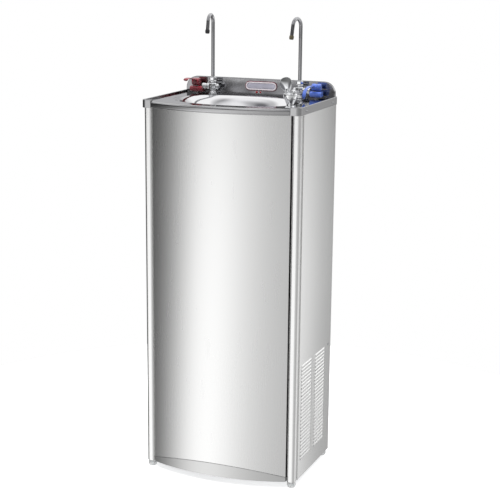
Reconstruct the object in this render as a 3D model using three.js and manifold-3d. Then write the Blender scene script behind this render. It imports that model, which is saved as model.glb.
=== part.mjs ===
// A free-standing hot and cold drinking fountain: a stainless cabinet with a bowed front, a pressed
// basin, two swivelling gooseneck fillers with lever valves, and a push-button bubbler.
// Millimetres. +Z is up, -Y is the front, the origin is on the floor under the middle of the fountain.

import * as THREE from "three";
import { mergeVertices } from "three/addons/utils/BufferGeometryUtils.js";
import Module from "manifold-3d";

const wasm = await Module();
wasm.setup();

// ---- driving dimensions ----
const GAP = 0.4;                             // between pieces that touch
const SHEET = 1.2;                           // cabinet sheet
const FOOT_HEIGHT = 18;
const CABINET_WIDTH = 460;
const CABINET_DEPTH = 298;
const CABINET_TOP = FOOT_HEIGHT + 1035;
const FRONT_Y = -130;                        // front faces of the front posts
const BACK_Y = FRONT_Y + CABINET_DEPTH;
const POST = 26;
const POST_WALL = 2;
const POST_ROUND = 8;
const BOW = 40;                              // how far the front panel bulges past the posts
const PANEL_HALF = CABINET_WIDTH / 2 - POST - 1;
const RIM_HEIGHT = 18;
const RIM_OVERHANG = 10;                     // rim moulding past the front panel
const RIM_DEPTH = 12;
const HALF_DEPTH = -FRONT_Y + BOW + RIM_OVERHANG;
const RIM_TOP = CABINET_TOP + RIM_HEIGHT;
const SIDE_RIM_LIP = 4;                      // side strips stand above the deck
const DECK_Z = RIM_TOP - 1;
const ARCH_END = 14;                         // kick plate height at the posts
const ARCH_RISE = 25;                        // and how much higher it is in the middle

// The front is one arc seen from above, and the rim moulding is concentric with it.
const BOW_RADIUS = (PANEL_HALF ** 2 + BOW ** 2) / (2 * BOW);
const BOW_CENTRE_Y = FRONT_Y - BOW + BOW_RADIUS;

const BOWL_HALF_WIDTH = 182;
const BOWL_HALF_DEPTH = 122;
const BOWL_DEPTH = 70;
const BOWL_FLOOR = 0.24; // the flat floor, as a share of the rim outline
const BOWL_LIP = 0.3; // how far the wall starts below the deck
const DRAIN = [0, -5];
const DRAIN_RADIUS = 19;

const BACKSPLASH_Y = 155;
const BACKSPLASH_DEPTH = 12;
const BACKSPLASH_HEIGHT = 45;
const BACKSPLASH_ROUND = 33;
const WINDOW = { x: 7, z: DECK_Z + 25, length: 94, height: 23 };
const LAMP_RADIUS = 3;
const LAMP_XS = [-6, 5];
const LAMP_Z = DECK_Z + 7;

const TAP_X = 133;
const TAP_Y = 130;
const SPOUT_RADIUS = 5;
const SPOUT_BEND = 21.5;
const HOT_SPOUT = { turn: THREE.MathUtils.degToRad(4), top: 1299, leg: 23 };
const COLD_SPOUT = { turn: THREE.MathUtils.degToRad(-11), top: 1295, leg: 28 };
const HOT_LEVER = { raise: THREE.MathUtils.degToRad(8), reach: 76, drop: 9 };
const COLD_LEVER = { raise: 0, reach: 82, drop: 25 };
const BARREL_Z = 20;                         // valve barrel above the deck
const HANDLE_X = 33;                         // coloured handle, outwards from the stem
const HANDLE_LENGTH = 32;
const HUB_Z = 32;                            // lever hub above the deck
const HUB_RADIUS = 9;

const BUBBLER = [191, -108];
const BUTTON_AIM = new THREE.Vector3(0.42, -0.55, 0.72).normalize();

const FAN = { x: 138, y: 15, z: 195, radius: 80 };
const COLD_TANK = { x: 98, y: -14, z: 560, radius: 80, height: 250 };
const HOT_TANK = { x: -100, y: -14, z: 585, radius: 68, height: 210 };
const SHELF_Z = 545;
const CONTROL = { x: -105, z: 620, width: 90, height: 110, front: 126, back: 170 };
const ROCKER_ZS = [CONTROL.z + 25, CONTROL.z - 25];
const DRAIN_PIPE_Y = 128;
const DRAIN_OUTLET_Z = 100;
const POWER_INLET = { x: -150, z: 110 };
const WATER_INLET = { x: 130, z: 110 };

// ---- finishes ----
function finish(color, roughness, metalness) {
  return new THREE.MeshStandardMaterial({ color, roughness, metalness });
}

const satinSteel = finish(0xc9c9c7, 0.35, 1);
const mirrorSteel = finish(0xd8d8da, 0.1, 1);
const galvanised = finish(0xa9adb0, 0.5, 1);
const chrome = finish(0xe2e4e6, 0.06, 1);
const redPlastic = finish(0x6e1c26, 0.25, 0);
const bluePlastic = finish(0x3f62b8, 0.2, 0);
const clearGreyPlastic = finish(0xc9c9c6, 0.4, 0);
const whitePlastic = finish(0xe9e6ea, 0.35, 0);
const windowPlastic = finish(0xb4b0bf, 0.15, 0);
const lampPlastic = finish(0xb01217, 0.2, 0);
const blackPlastic = finish(0x17181a, 0.5, 0);
const blackPaint = finish(0x1b1c1e, 0.45, 0);
const foam = finish(0xd9cfae, 0.9, 0);
const copper = finish(0xb5714a, 0.35, 1);
const brass = finish(0xb79a56, 0.3, 1);
const siliconeHose = finish(0xd9dcde, 0.45, 0);
const greyPipe = finish(0x8c9094, 0.5, 0);

// ---- making and placing solids ----
const fountain = new THREE.Group();

function signedVolume(geometry) {
  const flat = geometry.index ? geometry.toNonIndexed() : geometry;
  const p = flat.getAttribute("position");
  const [a, b, c] = [new THREE.Vector3(), new THREE.Vector3(), new THREE.Vector3()];
  let sum = 0;
  for (let i = 0; i < p.count; i += 3) {
    a.fromBufferAttribute(p, i);
    b.fromBufferAttribute(p, i + 1);
    c.fromBufferAttribute(p, i + 2);
    sum += a.dot(b.cross(c)) / 6;
  }
  return sum;
}

// Merges shared corners, drops collapsed triangles, and turns the faces outwards.
function closed(geometry) {
  const bare = geometry.clone();
  bare.deleteAttribute("normal");
  bare.deleteAttribute("uv");
  const merged = mergeVertices(bare, 1e-3);
  const kept = [];
  const outwards = signedVolume(merged) > 0;
  const index = merged.getIndex().array;
  for (let i = 0; i < index.length; i += 3) {
    const [a, b, c] = [index[i], index[i + 1], index[i + 2]];
    if (a !== b && b !== c && c !== a) kept.push(...(outwards ? [a, b, c] : [a, c, b]));
  }
  merged.setIndex(kept);
  return merged;
}

function toManifold(geometry) {
  const body = closed(geometry);
  return new wasm.Manifold(new wasm.Mesh({
    numProp: 3,
    vertProperties: new Float32Array(body.getAttribute("position").array),
    triVerts: new Uint32Array(body.getIndex().array),
  }));
}

function fromManifold(solid) {
  const mesh = solid.getMesh();
  const geometry = new THREE.BufferGeometry();
  geometry.setAttribute("position", new THREE.BufferAttribute(new Float32Array(mesh.vertProperties), 3));
  geometry.setIndex([...mesh.triVerts]);
  return geometry;
}

function join(first, ...others) {
  return fromManifold(others.reduce((sum, other) => sum.add(toManifold(other)), toManifold(first)));
}

function cut(first, ...others) {
  return fromManifold(others.reduce((rest, other) => rest.subtract(toManifold(other)), toManifold(first)));
}

function place(name, geometry, material, parent = fountain, at = [0, 0, 0]) {
  const mesh = new THREE.Mesh(closed(geometry), material);
  mesh.geometry.computeVertexNormals();
  mesh.name = name;
  mesh.position.set(...at);
  parent.add(mesh);
  return mesh;
}

// ---- shapes ----
function block(x0, x1, y0, y1, z0, z1) {
  const geometry = new THREE.BoxGeometry(x1 - x0, y1 - y0, z1 - z0);
  return geometry.translate((x0 + x1) / 2, (y0 + y1) / 2, (z0 + z1) / 2);
}

function outline(points) {
  return new THREE.Shape(points.map(([x, y]) => new THREE.Vector2(x, y)));
}

// A rectangle with rounded corners, centred on the origin; round is one radius or four.
function roundedRect(width, height, round, steps = 4) {
  const radii = Array.isArray(round) ? round : [round, round, round, round];
  const corners = [[1, 1], [-1, 1], [-1, -1], [1, -1]];
  const points = [];
  corners.forEach(([sx, sy], k) => {
    const r = radii[k];
    const count = r > 0 ? steps : 0;
    for (let i = 0; i <= count; i += 1) {
      const angle = (Math.PI / 2) * (k + (count ? i / count : 0));
      points.push([sx * (width / 2 - r) + r * Math.cos(angle), sy * (height / 2 - r) + r * Math.sin(angle)]);
    }
  });
  return points;
}

function shifted(points, dx, dy) {
  return points.map(([x, y]) => [x + dx, y + dy]);
}

function holePath(points) {
  return new THREE.Path(points.map(([x, y]) => new THREE.Vector2(x, y)));
}

// A flat outline, with holes, standing from z0 to z1.
function upright(points, z0, z1, holes = []) {
  const shape = outline(points);
  shape.holes = holes.map(holePath);
  return new THREE.ExtrudeGeometry(shape, { depth: z1 - z0, bevelEnabled: false }).translate(0, 0, z0);
}

// A flat outline in x and z, with holes, from y0 back to y1.
function facing(points, y0, y1, holes = []) {
  return upright(points, -y1, -y0, holes).rotateX(Math.PI / 2);
}

// A flat outline in y and z, with holes, from x0 to x1.
function sideways(points, x0, x1, holes = []) {
  return upright(points, x0, x1, holes).applyMatrix4(new THREE.Matrix4().set(
    0, 0, 1, 0,
    1, 0, 0, 0,
    0, 1, 0, 0,
    0, 0, 0, 1,
  ));
}

// A turned piece: profile points are [radius, z], and the axis is z.
function turned(profile, segments = 20) {
  const points = profile.map(([r, z]) => new THREE.Vector2(r, z));
  return new THREE.LatheGeometry(points, segments).rotateX(Math.PI / 2);
}

function disc(radius, z0, z1, segments = 20) {
  return turned([[0, z0], [radius, z0], [radius, z1], [0, z1]], segments);
}

function circle(radius, segments) {
  return Array.from({ length: segments }, (_, i) => {
    const angle = (2 * Math.PI * i) / segments;
    return [radius * Math.cos(angle), radius * Math.sin(angle)];
  });
}

// A path that is given by its own stations, so that a straight run takes one step.
class Route extends THREE.Curve {
  constructor(stations) {
    super();
    this.stations = stations;
  }

  getPoint(t, target = new THREE.Vector3()) {
    const along = Math.min(Math.max(t, 0), 1) * (this.stations.length - 1);
    const i = Math.min(Math.floor(along), this.stations.length - 2);
    return target.lerpVectors(this.stations[i], this.stations[i + 1], along - i);
  }

  getPointAt(u, target) {
    return this.getPoint(u, target);
  }

  getTangentAt(u, target) {
    return this.getTangent(u, target);
  }
}

function tube(stations, radius, bore, sides) {
  const section = outline(circle(radius, sides));
  section.holes = bore > 0 ? [holePath(circle(bore, sides))] : [];
  return new THREE.ExtrudeGeometry(section, {
    steps: stations.length - 1,
    extrudePath: new Route(stations),
    bevelEnabled: false,
  });
}

// A pipe through corner points, each corner rounded; bore 0 makes it solid.
function pipe(corners, radius, bend, { bore = 0, sides = 8, perBend = 4 } = {}) {
  const p = corners.map((c) => new THREE.Vector3(...c));
  const stations = [p[0]];
  for (let i = 1; i < p.length - 1; i += 1) {
    const before = p[i].clone().add(p[i - 1].clone().sub(p[i]).setLength(bend));
    const after = p[i].clone().add(p[i + 1].clone().sub(p[i]).setLength(bend));
    stations.push(...new THREE.QuadraticBezierCurve3(before, p[i], after).getPoints(perBend));
  }
  stations.push(p[p.length - 1]);
  return tube(stations, radius, bore, sides);
}

// Turns a piece made along +z so that it points along a direction.
function aimed(geometry, direction) {
  const turn = new THREE.Quaternion().setFromUnitVectors(new THREE.Vector3(0, 0, 1), direction);
  return geometry.applyQuaternion(turn);
}

// ---- the bowed front ----
function bowY(x, out = 0) {
  return BOW_CENTRE_Y - Math.sqrt((BOW_RADIUS + out) ** 2 - x ** 2);
}

function bowPoints(half, out, count = 16) {
  return Array.from({ length: count + 1 }, (_, i) => {
    const x = half * ((2 * i) / count - 1);
    return [x, bowY(x, out)];
  });
}

function archZ(x) {
  return FOOT_HEIGHT + ARCH_END + ARCH_RISE * (1 - (x / PANEL_HALF) ** 2);
}

// Moves every corner at height level to the arch line, offset by lift.
function archEdge(geometry, level, lift) {
  const p = geometry.getAttribute("position");
  for (let i = 0; i < p.count; i += 1) {
    if (Math.abs(p.getZ(i) - level) < 0.01) p.setZ(i, archZ(p.getX(i)) + lift);
  }
  return geometry;
}

// The front sheet seen from above: bowed, with a flange turned back at each post.
function frontSheetOutline() {
  const inner = PANEL_HALF - SHEET;
  const flange = FRONT_Y + 18;
  return [
    ...bowPoints(PANEL_HALF, 0),
    [PANEL_HALF, flange],
    [inner, flange],
    ...bowPoints(inner, -SHEET).reverse(),
    [-inner, flange],
    [-PANEL_HALF, flange],
  ];
}

function makeFront() {
  const low = FOOT_HEIGHT;
  const panel = upright(frontSheetOutline(), low, CABINET_TOP - GAP);
  place("front_panel", archEdge(panel, low, GAP), satinSteel);
  const top = CABINET_TOP;
  const kick = upright(frontSheetOutline(), low, top);
  place("kick_plate", archEdge(kick, top, -GAP), satinSteel);
}

// ---- cabinet ----
function makePost(name, x, y, rear) {
  const bore = POST - 2 * POST_WALL;
  const tube = upright(
    shifted(roundedRect(POST, POST, POST_ROUND), x, y),
    FOOT_HEIGHT,
    CABINET_TOP - GAP,
    [shifted(roundedRect(bore, bore, POST_ROUND - POST_WALL), x, y)],
  );
  place(name, tube, rear ? galvanised : satinSteel);
}

function makeFoot(name, x, y) {
  const stem = 8.5;
  const profile = [
    [0, 0], [9, 0], [11.6, 2], [12.5, 6], [12.5, FOOT_HEIGHT - 3], [11.4, FOOT_HEIGHT - GAP],
    [stem, FOOT_HEIGHT - GAP], [stem, FOOT_HEIGHT + 14], [0, FOOT_HEIGHT + 14],
  ];
  place(name, turned(profile, 12), clearGreyPlastic, fountain, [x, y, 0]);
}

function makeCorners() {
  const frontX = CABINET_WIDTH / 2 - POST / 2;
  const frontY = FRONT_Y + POST / 2;
  const rearX = frontX - SHEET - GAP;
  const rearY = BACK_Y - SHEET - GAP - POST / 2;
  for (const [side, sign] of [["left", -1], ["right", 1]]) {
    makePost(`post_front_${side}`, sign * frontX, frontY, false);
    makePost(`post_rear_${side}`, sign * rearX, rearY, true);
    makeFoot(`foot_front_${side}`, sign * frontX, frontY);
    makeFoot(`foot_rear_${side}`, sign * rearX, rearY);
  }
}

function makeBasePan() {
  const side = CABINET_WIDTH / 2 - SHEET - GAP;
  const between = CABINET_WIDTH / 2 - POST - 3;
  const behindPost = FRONT_Y + POST + GAP;
  const beforePost = BACK_Y - SHEET - 2 * GAP - POST;
  const rear = BACK_Y - SHEET - GAP;
  const points = [
    ...bowPoints(between, -SHEET - 2),
    [between, behindPost], [side, behindPost], [side, beforePost], [between, beforePost],
    [between, rear], [-between, rear], [-between, beforePost], [-side, beforePost],
    [-side, behindPost], [-between, behindPost],
  ];
  const level = FOOT_HEIGHT + 6;
  place("base_pan", upright(points, level, level + 2), galvanised);
}

// A sheet in y and z between x0 and x1, drawn cell by cell, with the cells that hollow names left open.
function slottedSheet(ys, zs, x0, x1, hollow) {
  const open = (i, k) => i < 0 || k < 0 || i >= ys.length - 1 || k >= zs.length - 1 || hollow(i, k);
  const corners = [];
  const quad = (a, b, c, d) => corners.push(...a, ...b, ...c, ...a, ...c, ...d);
  for (let i = 0; i < ys.length - 1; i += 1) {
    for (let k = 0; k < zs.length - 1; k += 1) {
      if (open(i, k)) continue;
      const [ya, yb, za, zb] = [ys[i], ys[i + 1], zs[k], zs[k + 1]];
      quad([x1, ya, za], [x1, yb, za], [x1, yb, zb], [x1, ya, zb]);
      quad([x0, ya, za], [x0, ya, zb], [x0, yb, zb], [x0, yb, za]);
      if (open(i - 1, k)) quad([x0, ya, za], [x1, ya, za], [x1, ya, zb], [x0, ya, zb]);
      if (open(i + 1, k)) quad([x0, yb, za], [x0, yb, zb], [x1, yb, zb], [x1, yb, za]);
      if (open(i, k - 1)) quad([x0, ya, za], [x0, yb, za], [x1, yb, za], [x1, ya, za]);
      if (open(i, k + 1)) quad([x0, ya, zb], [x1, ya, zb], [x1, yb, zb], [x0, yb, zb]);
    }
  }
  const geometry = new THREE.BufferGeometry();
  geometry.setAttribute("position", new THREE.Float32BufferAttribute(corners, 3));
  return geometry;
}

// Two columns of air openings, low down on each side, each opening as tall as three louvres.
function makeSidePanel(name, sign) {
  const outer = CABINET_WIDTH / 2;
  const rows = 9;
  const pitch = 31.5;
  const opening = 25;
  const lowest = FOOT_HEIGHT + 56;
  const zs = [FOOT_HEIGHT];
  for (let row = 0; row < rows; row += 1) zs.push(lowest + row * pitch, lowest + row * pitch + opening);
  zs.push(CABINET_TOP - GAP);
  const ys = [FRONT_Y + POST + 1, -88, 2, 28, 116, BACK_Y];
  const sheet = slottedSheet(ys, zs, outer - SHEET, outer, (i, k) => i % 2 === 1 && k % 2 === 1);
  place(name, sheet.scale(sign, 1, 1), satinSteel);
}

// The back sheet, with air slots low down and openings for what passes through it.
function makeBackPanel() {
  const half = CABINET_WIDTH / 2 - SHEET - GAP;
  const [before, after] = [BACK_Y - 5, BACK_Y + 5];
  const opening = (points, x, z) => facing(shifted(points, x, z), before, after);
  const openings = [
    opening(roundedRect(CONTROL.width + 1, CONTROL.height + 1, 0), CONTROL.x, CONTROL.z),
    opening(roundedRect(32, 22, 0), POWER_INLET.x, POWER_INLET.z),
    opening(circle(11, 12), WATER_INLET.x, WATER_INLET.z),
    opening(circle(17, 16), 0, DRAIN_OUTLET_Z),
  ];
  const airSlots = Array.from({ length: 10 }, (_, row) => opening(roundedRect(150, 6, 0), 110, 220 + row * 16));
  const sheet = block(-half, half, BACK_Y - SHEET, BACK_Y, FOOT_HEIGHT + 2, CABINET_TOP - GAP);
  place("back_panel", cut(sheet, ...openings, ...airSlots), galvanised);
}

// ---- top rim ----
function makeFrontRim() {
  const half = PANEL_HALF - 0.5;
  const span = 2 * half;
  const section = roundedRect(RIM_DEPTH, RIM_HEIGHT, [2.5, 5.5, 5.5, 2.5], 2);
  const bar = new THREE.ExtrudeGeometry(outline(section), { depth: span, steps: 16, bevelEnabled: false });
  const p = bar.getAttribute("position");
  for (let i = 0; i < p.count; i += 1) {
    const x = p.getZ(i) - half;
    const out = RIM_OVERHANG - RIM_DEPTH / 2 - p.getX(i);
    p.setXYZ(i, x, bowY(x, out), CABINET_TOP + RIM_HEIGHT / 2 + p.getY(i));
  }
  place("front_rim_moulding", bar, satinSteel);
}

// A strip bent round the side of the deck, with a short return at the front and at the back.
function makeSideRim(name, sign) {
  const outer = CABINET_WIDTH / 2 + 2;
  const thick = 3.5;
  const front = bowY(PANEL_HALF, RIM_OVERHANG);
  const back = HALF_DEPTH - 8;
  const frontRound = 14;
  const backRound = 6;
  const inner = outer - thick;
  const arc = (cx, cy, r, from, to) => Array.from({ length: 6 }, (_, i) => {
    const angle = from + ((to - from) * i) / 5;
    return [cx + r * Math.cos(angle), cy + r * Math.sin(angle)];
  });
  const quarter = Math.PI / 2;
  const points = [
    [PANEL_HALF, front],
    ...arc(outer - frontRound, front + frontRound, frontRound, -quarter, 0),
    ...arc(outer - backRound, back - backRound, backRound, 0, quarter),
    [outer - 22, back],
    [outer - 22, back - thick],
    ...arc(outer - backRound, back - backRound, backRound - thick, quarter, 0),
    [inner, front + frontRound + 2],
    [inner - 8, front + RIM_DEPTH + 1.5],
    [PANEL_HALF, front + RIM_DEPTH + 1.5],
  ];
  place(name, upright(points, CABINET_TOP, RIM_TOP + SIDE_RIM_LIP).scale(sign, 1, 1), satinSteel);
}

// ---- basin deck ----
function bowlOutline(grow, scale, segments = 40) {
  const bulge = 2.3;
  return Array.from({ length: segments }, (_, i) => {
    const angle = (2 * Math.PI * i) / segments;
    const [c, s] = [Math.cos(angle), Math.sin(angle)];
    const x = Math.sign(c) * Math.abs(c) ** (2 / bulge) * (BOWL_HALF_WIDTH + grow);
    const y = Math.sign(s) * Math.abs(s) ** (2 / bulge) * (BOWL_HALF_DEPTH + grow);
    return [DRAIN[0] + (x - DRAIN[0]) * scale, DRAIN[1] + (y - DRAIN[1]) * scale];
  });
}

// The bowl as a solid: rings that leave the deck flat, fall in one sweep, and run out level at the drain.
function bowlSolid(grow, top, drop) {
  const rings = 10;
  const start = DECK_Z - BOWL_LIP - drop;
  const depth = BOWL_DEPTH - BOWL_LIP;
  const loops = [bowlOutline(grow, 1).map(([x, y]) => [x, y, top])];
  for (let i = 0; i <= rings; i += 1) {
    const t = i / rings;
    const fall = (1 - Math.cos(Math.PI * t ** 0.85)) / 2;
    const scale = 1 - (1 - BOWL_FLOOR) * t;
    loops.push(bowlOutline(grow, scale).map(([x, y]) => [x, y, start - depth * fall]));
  }
  return stacked(loops);
}

// Joins equal loops of points into a closed solid with flat ends.
function stacked(loops) {
  const n = loops[0].length;
  const positions = loops.flat().flat();
  const index = [];
  for (let k = 0; k < loops.length - 1; k += 1) {
    for (let i = 0; i < n; i += 1) {
      const [a, b] = [k * n + i, k * n + ((i + 1) % n)];
      index.push(a, b, b + n, a, b + n, a + n);
    }
  }
  for (const [loop, flip] of [[0, false], [loops.length - 1, true]]) {
    const flat = loops[loop].map(([x, y]) => new THREE.Vector2(x, y));
    for (const [a, b, c] of THREE.ShapeUtils.triangulateShape(flat, [])) {
      const [p, q, r] = [a, b, c].map((v) => v + loop * n);
      index.push(...(flip ? [p, q, r] : [p, r, q]));
    }
  }
  const geometry = new THREE.BufferGeometry();
  geometry.setAttribute("position", new THREE.Float32BufferAttribute(positions, 3));
  geometry.setIndex(index);
  return geometry;
}

function makeDeck() {
  const side = CABINET_WIDTH / 2 - 2;
  const frontHalf = PANEL_HALF - 1;
  const front = bowPoints(frontHalf, RIM_OVERHANG - RIM_DEPTH - GAP);
  const corner = FRONT_Y + 6;
  const rear = HALF_DEPTH - 13;
  const edge = [...front, [frontHalf, corner], [side, corner], [side, rear], [-side, rear],
    [-side, corner], [-frontHalf, corner]];
  const bottom = DECK_Z - BOWL_DEPTH;
  const plate = upright(edge, DECK_Z - SHEET, DECK_Z);
  const outer = bowlSolid(SHEET, DECK_Z - SHEET / 2, SHEET);
  const inner = bowlSolid(0, DECK_Z + 1, 0);
  const drain = disc(DRAIN_RADIUS, bottom - 5, bottom + 1, 16).translate(...DRAIN, 0);
  const holes = [-TAP_X, TAP_X].map((x) => disc(7.5, DECK_Z - 5, DECK_Z + 1, 10).translate(x, TAP_Y, 0));
  holes.push(disc(7.5, DECK_Z - 5, DECK_Z + 1, 10).translate(...BUBBLER, 0));
  place("basin_deck", cut(join(plate, outer), inner, drain, ...holes), mirrorSteel);
}

function makeDrain() {
  const bottom = DECK_Z - BOWL_DEPTH;
  const bore = DRAIN_RADIUS - 4;
  const profile = [
    [0, bottom + 1], [bore, bottom + 1], [bore, bottom - 34], [bore + 2.5, bottom - 34],
    [bore + 2.5, bottom + GAP], [DRAIN_RADIUS + 4, bottom + GAP], [DRAIN_RADIUS + 3, bottom + 3],
    [0, bottom + 3],
  ];
  place("drain_strainer", turned(profile, 20), chrome, fountain, [...DRAIN, 0]);
  const route = [
    [...DRAIN, bottom - 34 - GAP],
    [...DRAIN, bottom - 120],
    [0, DRAIN_PIPE_Y, bottom - 160],
    [0, DRAIN_PIPE_Y, DRAIN_OUTLET_Z],
    [0, HALF_DEPTH - 1, DRAIN_OUTLET_Z],
  ];
  place("drain_pipe", pipe(route, 15, 30, { bore: 12.5, sides: 10 }), greyPipe);
}

// ---- backsplash ----
function stadium(length, height) {
  return roundedRect(length, height, height / 2 - 0.01, 4);
}

function makeBacksplash() {
  const width = CABINET_WIDTH - 4;
  const z0 = DECK_Z + GAP;
  const middle = z0 + BACKSPLASH_HEIGHT / 2;
  const round = [BACKSPLASH_ROUND, BACKSPLASH_ROUND, 0, 0];
  const y1 = BACKSPLASH_Y + BACKSPLASH_DEPTH;
  const face = shifted(roundedRect(width, BACKSPLASH_HEIGHT, round, 8), 0, middle);
  const inside = shifted(
    roundedRect(width - 2 * SHEET, BACKSPLASH_HEIGHT - 2 * SHEET, round.map((r) => Math.max(r - SHEET, 0)), 8),
    0,
    middle,
  );
  const shell = cut(
    facing(face, BACKSPLASH_Y, y1),
    facing(inside, BACKSPLASH_Y + SHEET, y1 + 5),
    facing(shifted(stadium(WINDOW.length - 4, WINDOW.height - 4), WINDOW.x, WINDOW.z), 100, y1 - 1),
    ...LAMP_XS.map((x) => facing(shifted(circle(LAMP_RADIUS + 0.4, 10), x, LAMP_Z), 100, y1 - 1)),
  );
  place("backsplash", shell, mirrorSteel);
}

function makeWindow() {
  const { x, z, length, height } = WINDOW;
  const proud = 2;
  const y = BACKSPLASH_Y - GAP;
  const rim = shifted(stadium(length, height), x, z);
  const opening = shifted(stadium(length - 7, height - 7), x, z);
  place("window_bezel", facing(rim, y - proud, y, [opening]), whitePlastic);
  const face = shifted(stadium(length - 7 - 2 * GAP, height - 7 - 2 * GAP), x, z);
  place("window_lens", facing(face, y - 1, y + 8), windowPlastic);
  ["lamp_power", "lamp_heating"].forEach((name, k) => {
    const dome = [[0, -5], [LAMP_RADIUS, -5], [LAMP_RADIUS, 1], [LAMP_RADIUS * 0.75, 2.6], [0, 3.6]];
    const lamp = aimed(turned(dome, 12), new THREE.Vector3(0, -1, 0));
    place(name, lamp, lampPlastic, fountain, [LAMP_XS[k], BACKSPLASH_Y, LAMP_Z]);
  });
}

// ---- gooseneck taps ----
// The line of a gooseneck: up, round a bend that opens forwards, and down a short leg.
function gooseneck(start, bendZ, bend, sweep, leg) {
  const steps = 10;
  const stations = [new THREE.Vector3(0, 0, start)];
  for (let i = 0; i <= steps; i += 1) {
    const angle = (sweep * i) / steps;
    stations.push(new THREE.Vector3(0, -bend * (1 - Math.cos(angle)), bendZ + bend * Math.sin(angle)));
  }
  const down = new THREE.Vector3(0, -Math.sin(sweep), Math.cos(sweep)).multiplyScalar(leg);
  stations.push(stations[steps + 1].clone().add(down));
  return stations;
}

function makeSpout(prefix, at, { turn, top, leg }) {
  const group = new THREE.Group();
  group.position.set(...at);
  group.rotation.z = turn;
  fountain.add(group);
  const nut = roundedRect(19, 19, 5, 2);
  const bottom = 38 + GAP;
  place(`${prefix}_spout_nut`, upright(nut, bottom, bottom + 11), chrome, fountain, at);
  const sweep = THREE.MathUtils.degToRad(168);
  const start = bottom + 11 + GAP;
  const bendZ = top - DECK_Z - SPOUT_RADIUS - SPOUT_BEND;
  const neck = gooseneck(start, bendZ, SPOUT_BEND, sweep, leg);
  place(`${prefix}_spout`, tube(neck, SPOUT_RADIUS, 0, 10), chrome, group);
  const tip = neck[neck.length - 1];
  const aim = new THREE.Vector3(0, -Math.sin(sweep), Math.cos(sweep));
  const cap = [[0, GAP], [6, GAP], [6.3, 9], [5.2, 11], [3, 11], [3, 5], [0, 5]];
  const nozzle = aimed(turned(cap, 12), aim).translate(tip.x, tip.y, tip.z);
  place(`${prefix}_nozzle`, nozzle, blackPlastic, group);
}

// The lever seen from the side: a finger that runs forwards from the hub and curls down at its tip.
function leverOutline(thick, reach, drop) {
  const spine = new THREE.CubicBezierCurve(
    new THREE.Vector2(3, 3),
    new THREE.Vector2(reach / 2, 7),
    new THREE.Vector2(reach + 6, 7),
    new THREE.Vector2(reach, -drop),
  );
  const steps = 10;
  const [upper, lower] = [[], []];
  for (let i = 0; i <= steps; i += 1) {
    const p = spine.getPoint(i / steps);
    const d = spine.getTangent(i / steps);
    const half = (thick / 2) * (1 - 0.25 * (i / steps));
    upper.push([-(p.x - d.y * half), p.y + d.x * half]);
    lower.push([-(p.x + d.y * half), p.y - d.x * half]);
  }
  return [...upper, ...lower.reverse()];
}

function makeTap(prefix, side, color, { raise, reach, drop }, spout) {
  const at = [side * TAP_X, TAP_Y, DECK_Z + GAP];
  const out = (geometry) => geometry.scale(side, 1, 1);
  const stem = turned([
    [0, -32], [6.5, -32], [6.5, 0], [15, 0], [15, 2.5], [11, 5], [10, 9], [10, 33], [8.5, 38], [0, 38],
  ], 12);
  const barrel = turned([[0, -19], [6, -19], [8.5, -16], [8.5, HANDLE_X - GAP], [0, HANDLE_X - GAP]], 12);
  aimed(barrel, new THREE.Vector3(1, 0, 0)).translate(0, 0, BARREL_Z);
  place(`${prefix}_valve_body`, out(join(stem, barrel)), chrome, fountain, at);

  const x1 = HANDLE_X + HANDLE_LENGTH;
  const base = shifted(roundedRect(25, 16, 6, 3), 0, 12);
  place(`${prefix}_handle_base`, out(sideways(base, HANDLE_X, x1)), color, fountain, at);

  const hub = sideways(circle(HUB_RADIUS, 16), HANDLE_X + 1, x1 - 1);
  const middle = HANDLE_X + HANDLE_LENGTH / 2;
  const finger = sideways(leverOutline(4, reach, drop), middle - 8, middle + 8);
  const lever = join(hub, finger).rotateX(-raise);
  place(`${prefix}_lever`, out(lever), color, fountain, [at[0], at[1], at[2] + HUB_Z]);

  makeSpout(prefix, at, spout);
}

// ---- bubbler ----
function makeBubbler() {
  const at = [...BUBBLER, DECK_Z + GAP];
  const cup = turned([
    [0, -30], [6.5, -30], [6.5, 0], [14, 0], [14, 2.5], [10.5, 5], [10, 10], [13, 17], [17.5, 25],
    [19.5, 33], [19, 37], [15, 39.5], [0, 41],
  ], 14);
  const bossFoot = new THREE.Vector3(7, -2, 34);
  const boss = aimed(disc(8, -6, 14, 14), BUTTON_AIM).translate(...bossFoot);
  const well = aimed(disc(6, 4, 20, 14), BUTTON_AIM).translate(...bossFoot);
  place("bubbler_body", cut(join(cup, boss), well), chrome, fountain, at);
  const push = aimed(turned([[0, 9], [5.5, 9], [5.5, 16.5], [4, 18], [0, 18.4]], 14), BUTTON_AIM);
  place("bubbler_button", push.translate(...bossFoot), chrome, fountain, at);

  // An egg-shaped guard on a short neck, leaning back over the nozzle.
  const egg = Array.from({ length: 18 }, (_, i) => {
    const angle = (2 * Math.PI * i) / 18;
    const up = Math.sin(angle);
    return [(12 + 4.5 * up) * Math.cos(angle), 22 + 17.5 * up];
  });
  const plate = facing(egg, -2, 2);
  const neck = facing([[-4.5, 0], [4.5, 0], [5.5, 10], [-5.5, 10]], -3, 3);
  const guard = join(plate, neck);
  guard.rotateX(-0.22).rotateZ(0.3).rotateY(-0.3);
  place("bubbler_guard", guard.translate(-7, 2, 41.8), chrome, fountain, at);
}

// ---- cooling ----
function makeCompressor() {
  const bottom = FOOT_HEIGHT + 8 + GAP;
  const can = turned([
    [0, 0], [48, 0], [48, 16], [66, 26], [72, 40], [74, 96], [75, 100], [74, 104], [72, 150], [60, 176],
    [30, 188], [0, 190],
  ], 16);
  const foot = roundedRect(170, 130, 12, 2);
  const shell = join(can, upright(foot, 6, 9));
  place("compressor", shell, blackPaint, fountain, [-85, 30, bottom]);
}

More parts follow.
